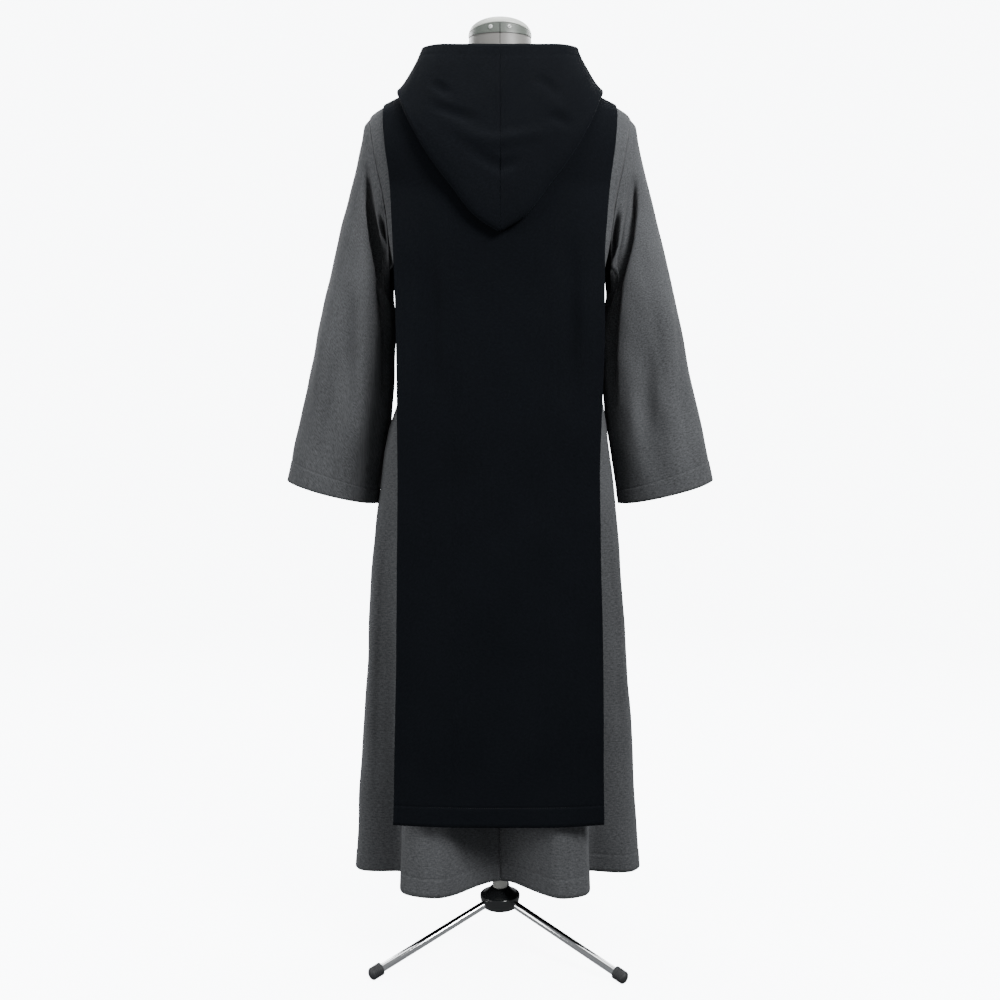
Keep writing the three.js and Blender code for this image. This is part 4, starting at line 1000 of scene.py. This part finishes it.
def plain_finish(name, colour, rough, metal=0.0, coat=0.0, mottle=0.06, bump_height=0.0001, joint=None):
    """A hard finish, slightly mottled, worn in its gloss, with a joint's dark line where it has one."""
    finish = bpy.data.materials.new(name)
    finish.use_nodes = True
    tree = finish.node_tree
    shader = tree.nodes["Principled BSDF"]
    patches = noise(tree, on_object(tree), 22.0, 4.0, Roughness=0.6)
    dull = tuple(c * (1 - mottle) for c in colour)
    bright = tuple(min(1, c * (1 + mottle)) for c in colour)
    shade = blend(tree, patches, dull, bright)
    if joint is not None:
        dark, half = joint
        shade = blend(tree, joint_mask(tree, half), shade, dark)
    tree.links.new(shade, shader.inputs["Base Color"])
    gloss = ranged(tree, patches, To_Min=max(0.02, rough - 0.06), To_Max=rough + 0.08)
    tree.links.new(gloss, shader.inputs["Roughness"])
    fine = noise(tree, on_object(tree), 1200.0, 2.0)
    tree.links.new(bumped(tree, fine, 0.25, bump_height), shader.inputs["Normal"])
    shader.inputs["Metallic"].default_value = metal
    shader.inputs["Coat Weight"].default_value = coat
    shader.inputs["Coat Roughness"].default_value = 0.08
    return finish


def joint_mask(tree, half):
    """One within a narrow line down the middle of the form, nought beside it."""
    split = node(tree, "ShaderNodeSeparateXYZ")
    tree.links.new(on_object(tree), split.inputs[0])
    side = maths(tree, "ABSOLUTE", split.outputs["X"])
    return ranged(tree, side, From_Min=half * 0.6, From_Max=half, To_Min=1.0, To_Max=0.0)


CLOTHS = {
    "tunic": ("Tunic cloth", "tunic_colour", 0.5, 1.5, 0.3, 0.08, (0.8, 0.82, 0.86), 0.15),
    "scapular": ("Scapular cloth", "scapular_colour", 0.45, 1.0, 0.22, 0.02, (0.5, 0.6, 0.75), 0.07),
}
THREADS = {
    "tunic thread": ("Grey thread", "tunic_colour", 0.7, 0.8),
    "scapular thread": ("Black thread", "scapular_colour", 0.6, 0.75),
}
PAINTS = {
    "shell": ("Form shell", "shell_colour", 0.42, {"joint": ((0.03, 0.03, 0.03), 0.0008)}),
    "cap": ("Form cap", "cap_colour", 0.35, {"coat": 0.15}),
    "plate": ("Neck plate", "plate_colour", 0.4, {"joint": ((0.003, 0.003, 0.003), 0.0009)}),
    "pole": ("Pole paint", "pole_colour", 0.28, {"coat": 0.3, "mottle": 0.03}),
}
MOULDED = {
    "screw": ("Screw head", (0.78, 0.8, 0.78), 0.3, {}),
    "slot": ("Screw slot", (0.03, 0.03, 0.03), 0.6, {}),
    "hub": ("Hub plastic", (0.012, 0.013, 0.014), 0.22, {"coat": 0.25}),
    "chrome": ("Chrome", (0.72, 0.73, 0.74), 0.1, {"metal": 1.0, "mottle": 0.03}),
    "rubber": ("Foot rubber", (0.018, 0.019, 0.021), 0.62, {"bump_height": 0.0003}),
}


@functools.cache
def finish_of(key):
    """The finish of a piece, made the first time it is asked for."""
    cloth, stand = bpy.context.scene.habit_cloth, bpy.context.scene.habit_stand
    if key in CLOTHS:
        name, colour, *rest = CLOTHS[key]
        return cloth_finish(name, tuple(getattr(cloth, colour)), *rest)
    if key in THREADS:
        name, colour, share, rough = THREADS[key]
        return plain_finish(name, tuple(c * share for c in getattr(cloth, colour)), rough)
    if key in PAINTS:
        name, colour, rough, more = PAINTS[key]
        return plain_finish(name, tuple(getattr(stand, colour)), rough, **more)
    name, colour, rough, more = MOULDED[key]
    return plain_finish(name, colour, rough, **more)


# --- What a user may change


def colour_setting(name, description, default):
    return FloatVectorProperty(
        name=name, description=description, subtype="COLOR", size=3, default=default, min=0, max=1
    )


class HabitCloth(bpy.types.PropertyGroup):
    """The cloth's colours and thickness."""

    tunic_colour: colour_setting("Tunic", "Middle colour of the grey melange", (0.068, 0.0705, 0.0745))
    scapular_colour: colour_setting(
        "Scapular", "Middle colour of the scapular and hood", (0.0028, 0.0036, 0.0052)
    )
    wall: FloatProperty(
        name="Thickness", description="Thickness of the cloth", default=0.0013, min=0.0005, max=0.002,
        unit="LENGTH", precision=4,
    )


class HabitStand(bpy.types.PropertyGroup):
    """The colours of the form and its stand."""

    shell_colour: colour_setting("Shell", "Colour of the form's shell", (0.21, 0.205, 0.195))
    cap_colour: colour_setting("Cap", "Colour of the cap on the neck", (0.74, 0.77, 0.72))
    plate_colour: colour_setting("Plate", "Colour of the plate behind the neck", (0.12, 0.135, 0.12))
    pole_colour: colour_setting("Pole", "Paint of the pole", (0.8, 0.8, 0.74))


# --- The stage

LENS, FILM = 34.49, 36
CAMERA_PLACE = (0, 1.797, 0.809)
# The backdrop is a bowl: how far out its floor goes, how far out its wall stands and how high it is.
BOWL_FLOOR, BOWL_REACH, BOWL_HEIGHT = 4.5, 6, 6
# Each light's name, place, the point it aims at, its size and its power.
LIGHTS = (
    ("Key", (-1.9, 2.2, 2.8), (0, 0, 1.25), 1.2, 160),
    ("Fill", (2.6, 1.3, 1.1), (0, 0, 0.8), 1.5, 58),
    ("Top", (0.1, 0.25, 3.6), (0, 0, 1.3), 1.6, 40),
    ("Front left", (1.9, -2.2, 2.8), (0, 0, 1.1), 1.5, 90),
    ("Front right", (-1.9, -2.2, 2.7), (0, 0, 1.1), 1.5, 60),
)


class HABIT_OT_stage(bpy.types.Operator):
    """Set the camera, the lights and the backdrop"""

    bl_idname = "habit.stage"
    bl_label = "Stage"

    def execute(self, context):
        scene = context.scene
        lens = bpy.data.cameras.new("View")
        lens.lens = LENS
        lens.sensor_width = FILM
        camera = bpy.data.objects.new("View", lens)
        camera.location = CAMERA_PLACE
        camera.rotation_euler = (math.radians(90), 0, math.radians(180))
        scene.collection.objects.link(camera)
        scene.camera = camera
        self.backdrop(scene)
        world = bpy.data.worlds.new("Studio")
        scene.world = world
        world.use_nodes = True
        sky = world.node_tree.nodes["Background"]
        sky.inputs["Color"].default_value = (0.95, 0.975, 1, 1)
        sky.inputs["Strength"].default_value = 0.3
        for name, place, aim, size, power in LIGHTS:
            light = bpy.data.lights.new(name, "AREA")
            light.size = size
            light.energy = power
            lamp = bpy.data.objects.new(name, light)
            lamp.location = place
            lamp.rotation_euler = (Vector(place) - Vector(aim)).to_track_quat("Z", "Y").to_euler()
            scene.collection.objects.link(lamp)
        return {"FINISHED"}

    def backdrop(self, scene):
        """A bright bowl round the habit that lights nothing itself."""
        bend = BOWL_REACH - BOWL_FLOOR
        profile = [(0, 0), (BOWL_FLOOR, 0)]
        for k in range(1, 13):
            a = math.radians(90 * k / 12)
            profile.append((BOWL_FLOOR + bend * math.sin(a), bend * (1 - math.cos(a))))
        profile.append((BOWL_REACH, BOWL_HEIGHT))
        bm = spun(profile, 64)
        for face in bm.faces:
            face.smooth = True
        mesh = bpy.data.meshes.new("Backdrop")
        bm.to_mesh(mesh)
        bm.free()
        paper = bpy.data.materials.new("Backdrop")
        paper.use_nodes = True
        shader = paper.node_tree.nodes["Principled BSDF"]
        shader.inputs["Base Color"].default_value = (0.86, 0.88, 0.9, 1)
        shader.inputs["Roughness"].default_value = 0.9
        shader.inputs["Emission Color"].default_value = (0.945, 0.97, 1, 1)
        shader.inputs["Emission Strength"].default_value = 9
        mesh.materials.append(paper)
        bowl = bpy.data.objects.new("Backdrop", mesh)
        bowl.visible_diffuse = False
        bowl.visible_glossy = False
        bowl.visible_shadow = False
        scene.collection.objects.link(bowl)


# --- Pieces


def stands_for(piece, solid):
    """Hide the solid that a piece takes the place of."""
    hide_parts(solid)


class HABIT_OT_tunic(bpy.types.Operator):
    """Hang the tunic's front and two back panels"""

    bl_idname = "habit.tunic"
    bl_label = "Tunic"

    def execute(self, context):
        def back(level):
            return np.full_like(level, math.pi / 2)

        def left_back(level):
            return past_seam(armhole_angle(level), level, 1), past_seam(back(level), level, -1)

        def right_back(level):
            return past_seam(back(level), level, 1), past_seam(math.pi - armhole_angle(level), level, -1)

        def front(level):
            armhole = armhole_angle(level)
            return past_seam(armhole - math.pi, level, 1), past_seam(-armhole, level, -1)

        for name, edges, columns, flat, area in (
            ("tunic_back_left", left_back, 76, (0.5, 1.45), 0.5),
            ("tunic_back_right", right_back, 76, (0.5, 1.45), 0.5),
            ("tunic_front", front, 134, (0.9, 1.4), 0.9),
        ):
            piece = tunic_panel(name + "_cloth", edges, columns, finish_of("tunic"))
            stands_for(piece, name)
        return {"FINISHED"}


class HABIT_OT_sleeves(bpy.types.Operator):
    """Hang the two wide sleeves"""

    bl_idname = "habit.sleeves"
    bl_label = "Sleeves"

    def execute(self, context):
        for name, side in (("sleeve_left", 1), ("sleeve_right", -1)):
            piece = sleeve(name + "_cloth", side, finish_of("tunic"))
            stands_for(piece, name)
        return {"FINISHED"}


class HABIT_OT_scapular(bpy.types.Operator):
    """Hang the scapular's back and front"""

    bl_idname = "habit.scapular"
    bl_label = "Scapular"

    def execute(self, context):
        for name, face, length in (("scapular_back", 1, 1.33), ("scapular_front", -1, 1.3)):
            piece = scapular_panel(name + "_cloth", face, finish_of("scapular"))
            stands_for(piece, name)
        return {"FINISHED"}


class HABIT_OT_hood(bpy.types.Operator):
    """Lay the hood down on the back"""

    bl_idname = "habit.hood"
    bl_label = "Hood"

    def execute(self, context):
        turns = spaced(0, 1, 96, [(0, 0.02, 2), (0.53, 0.08, 1)])
        surface = hood_surface(turns, *HOOD_ROWS)
        for name, side in (("hood_left", 1), ("hood_right", -1)):
            piece = hood_half(name + "_cloth", side, turns, surface, finish_of("scapular"))
            stands_for(piece, name)
        return {"FINISHED"}


FORM_STEPS, FORM_FLOOR_Z, FORM_TOP_Z = 96, 800, 1651
PLATE_TOP_Z, PLATE_SIDE_Z, PLATE_DROP = 1650.2, 1649.5, 16
SCREW_X, SCREW_Z = 16.5, 1643.0
CAP_PROFILE = [
    (0, 1651.3), (57.2, 1651.3), (57.6, 1653), (56.6, 1657.6), (53.6, 1662), (49, 1664.9), (40, 1666),
    (0, 1666.6),
]
SCREW_PROFILE = [(0, 0), (3.7, 0), (3.7, 0.7), (2.9, 1.5), (1.2, 1.9), (0, 2)]


class HABIT_OT_form(bpy.types.Operator):
    """Build the dress form with its neck cap, plate and screws"""

    bl_idname = "habit.form"
    bl_label = "Dress form"

    def execute(self, context):
        stands_for(self.body(), "form_body")
        cap = turned("neck_cap", rounded(CAP_PROFILE, 2.4), finish_of("cap"), FORM_STEPS)
        stands_for(cap, "form_neck_cap")
        stands_for(self.plate(), "form_neck_plate")
        for name, x in (("form_screw_left", SCREW_X), ("form_screw_right", -SCREW_X)):
            stands_for(self.screw(name + "_head", x), name)
        return {"FINISHED"}

    def body(self):
        heights = spaced(FORM_FLOOR_Z, FORM_TOP_Z, 120, [(1560, 60, 1), (802, 8, 3), (1650, 5, 2)])
        angle = np.linspace(0, 2 * math.pi, FORM_STEPS + 1)[None, :] + 0 * heights[:, None]
        p = form_point(angle, heights[:, None] + 0 * angle)
        p[:, -1] = p[:, 0]
        bm, _ = grid_mesh(in_place(p))
        bmesh.ops.remove_doubles(bm, verts=bm.verts, dist=1e-6)
        bmesh.ops.holes_fill(bm, edges=[edge for edge in bm.edges if edge.is_boundary], sides=0)
        smoothed(bm, 40)
        for face in bm.faces:
            face.smooth = len(face.verts) < 8
        return finished(bm, "form_shell", finish_of("shell"))

    def plate(self):
        """A thin plate round the back of the neck, deepest in the middle."""
        angle = np.radians(np.linspace(8, 172, 81))[None, :] + np.zeros((9, 1))
        bottom = PLATE_SIDE_Z - PLATE_DROP * np.sin(angle)
        z = bottom + (PLATE_TOP_Z - bottom) * np.linspace(0, 1, 9)[:, None]
        out = np.stack([np.cos(angle), np.sin(angle), 0 * angle], -1)
        bm, _ = grid_mesh(in_place(form_point(angle, z) + out * 1.5))
        bmesh.ops.solidify(bm, geom=bm.faces[:], thickness=0.0012)
        bmesh.ops.recalc_face_normals(bm, faces=bm.faces)
        for face in bm.faces:
            face.smooth = True
        piece = finished(bm, "neck_plate", finish_of("plate"))
        edge = piece.modifiers.new("Edge", "BEVEL")
        edge.width = 0.0003
        edge.segments = 2
        edge.limit_method = "ANGLE"
        return piece

    def screw(self, name, x):
        """A domed screw head in the plate, with its slot."""
        angle = math.acos(x / 58)
        seat = form_point(np.array(angle), np.array(SCREW_Z))
        reach = math.hypot(seat[0], seat[1]) + 1.75
        place = Matrix.Rotation(angle, 4, "Z") @ Matrix.Translation((reach / 1000, 0, SCREW_Z / 1000))
        place = place @ Matrix.Rotation(math.pi / 2, 4, "Y")
        piece = turned(name, rounded(SCREW_PROFILE, 0.5, 3), finish_of("screw"), 32, place)
        slot = bmesh.new()
        bmesh.ops.create_cube(slot, size=1, matrix=Matrix.Diagonal((0.0008, 0.0044, 0.0009, 1)))
        lift = Matrix.Translation((0, STAND_Y / 1000, 0)) @ place @ Matrix.Translation((0, 0, 0.0018))
        bmesh.ops.transform(slot, matrix=lift @ Matrix.Rotation(math.radians(35), 4, "Z"), verts=slot.verts)
        groove = finished(slot, name + "_slot", finish_of("slot"))
        return piece


POLE_R, POLE_BOTTOM_Z, POLE_TOP_Z = 13.5, 74, 859.7
LEG_R, LEG_START, FOOT_REACH = 7, 29, 244
LEG_TURNS = (("left", 30.5), ("right", 146), ("front", 268))
HUB_PROFILE = [
    (0, 70), (28.5, 70), (32.5, 72.5), (34.4, 80), (36.4, 89), (36.2, 93), (33.6, 95), (30, 95.6),
    (24, 99.6), (18.5, 104.6), (15.8, 107), (13.8, 107), (13.8, 73.7), (0, 73.7),
]
FOOT_PROFILE = [(0, 4.3), (7.3, 4.3), (7.3, -12.5), (8.7, -12.5), (10.4, -11.2), (10.7, -9)]
FOOT_PROFILE += [
    (reach, -8 + 3.2 * ring + up)
    for ring in range(4)
    for reach, up in ((10.8, 0), (10.8, 1.3), (10.3, 1.7), (10.3, 2.6))
]
FOOT_PROFILE += [(11, 6), (9.2, 9.5), (5.2, 11.9), (0, 12.5)]


class HABIT_OT_stand(bpy.types.Operator):
    """Build the pole, the hub, the three legs and their feet"""

    bl_idname = "habit.stand"
    bl_label = "Stand"

    def execute(self, context):
        tube = [(0, POLE_BOTTOM_Z), (POLE_R, POLE_BOTTOM_Z), (POLE_R, POLE_TOP_Z), (0, POLE_TOP_Z)]
        pole = turned("pole", rounded(tube, 1.2), finish_of("pole"), 64)
        stands_for(pole, "stand_pole")
        hub = turned("hub", rounded(HUB_PROFILE, 1.6), finish_of("hub"), 96)
        stands_for(hub, "stand_hub")
        start, end = Vector((20, 0, 84)), Vector((FOOT_REACH, 0, 11))
        way = (end - start).normalized()
        inner = (FOOT_REACH - LEG_START) / way.x
        rod = [(0, -inner), (LEG_R, -inner), (LEG_R, 4), (0, 4)]
        tilt = Vector((0, 0, 1)).rotation_difference(way).to_matrix().to_4x4()
        for name, degrees in LEG_TURNS:
            place = Matrix.Rotation(math.radians(degrees), 4, "Z") @ Matrix.Translation(end / 1000) @ tilt
            leg = turned("leg_" + name, rounded(rod, 0.8), finish_of("chrome"), 40, place)
            stands_for(leg, "stand_leg_" + name)
            sole = rounded(FOOT_PROFILE, 0.7, 2)
            foot = turned("foot_" + name, sole, finish_of("rubber"), 40, place, cut_floor=True)
            stands_for(foot, "stand_foot_" + name)
        return {"FINISHED"}


class HABIT_OT_stitches(bpy.types.Operator):
    """Sew the hems of the tunic and the scapular and the cuffs"""

    bl_idname = "habit.stitches"
    bl_label = "Stitches"

    def execute(self, context):
        grey = bmesh.new()
        angle = np.linspace(0, 2 * math.pi, 900)
        level = np.full_like(angle, float(HEM_Z + HEM_DEPTH))
        out = tunic_out(angle, level)[None]
        p = creased(tunic_point(angle, level)[None], out, TUNIC_CREASES, np.sin(angle)[None])
        p = rumpled(p, out, *TUNIC_RUMPLE)
        stitch_row(grey, p[0], out[0])
        for side in (1, -1):
            rings = np.array([9.28, RINGS - CUFF_HEM / RING_LENGTH, 9.4])
            p, out, _, _ = sleeve_surface(side, 241, rings)
            stitch_row(grey, p[1], out[1])
        self.sewn(grey, "tunic_stitches", "tunic thread", "tunic_cloth")
        black = bmesh.new()
        for face in (1, -1):
            p, out, _, level = scapular_surface(face)
            middle = level[:, SCAPULAR_COLUMNS // 2]
            row = int(np.abs(middle - SCAPULAR_HEM_Z - SCAPULAR_HEM).argmin())
            stitch_row(black, p[row], out[row])
        self.sewn(black, "scapular_stitches", "scapular thread", "scapular_cloth")
        return {"FINISHED"}

    def sewn(self, bm, name, thread, slot):
        for face in bm.faces:
            face.smooth = True
        piece = finished(bm, name, finish_of(thread))


class HABIT_PT_panel(bpy.types.Panel):
    """The habit's settings and pieces"""

    bl_label = "Monk habit"
    bl_idname = "HABIT_PT_panel"
    bl_space_type = "VIEW_3D"
    bl_region_type = "UI"
    bl_category = "Habit"

    def draw(self, context):
        for name in ("tunic_colour", "scapular_colour", "wall"):
            self.layout.prop(context.scene.habit_cloth, name)
        for name in ("shell_colour", "cap_colour", "plate_colour", "pole_colour"):
            self.layout.prop(context.scene.habit_stand, name)
        for kind in STEPS:
            self.layout.operator(kind.bl_idname)


STEPS = (
    HABIT_OT_stage,
    HABIT_OT_tunic,
    HABIT_OT_sleeves,
    HABIT_OT_scapular,
    HABIT_OT_hood,
    HABIT_OT_form,
    HABIT_OT_stand,
    HABIT_OT_stitches,
)
CLASSES = (HabitCloth, HabitStand, *STEPS, HABIT_PT_panel)


def register():
    for kind in CLASSES:
        bpy.utils.register_class(kind)
    bpy.types.Scene.habit_cloth = PointerProperty(type=HabitCloth)
    bpy.types.Scene.habit_stand = PointerProperty(type=HabitStand)


def unregister():
    del bpy.types.Scene.habit_stand
    del bpy.types.Scene.habit_cloth
    for kind in reversed(CLASSES):
        bpy.utils.unregister_class(kind)


def main():
    register()
    bpy.ops.habit.stage()
    bpy.ops.habit.tunic()
    bpy.ops.habit.sleeves()
    bpy.ops.habit.scapular()
    bpy.ops.habit.hood()
    bpy.ops.habit.form()
    bpy.ops.habit.stand()
    bpy.ops.habit.stitches()


if __name__ == "__main__":
    main()
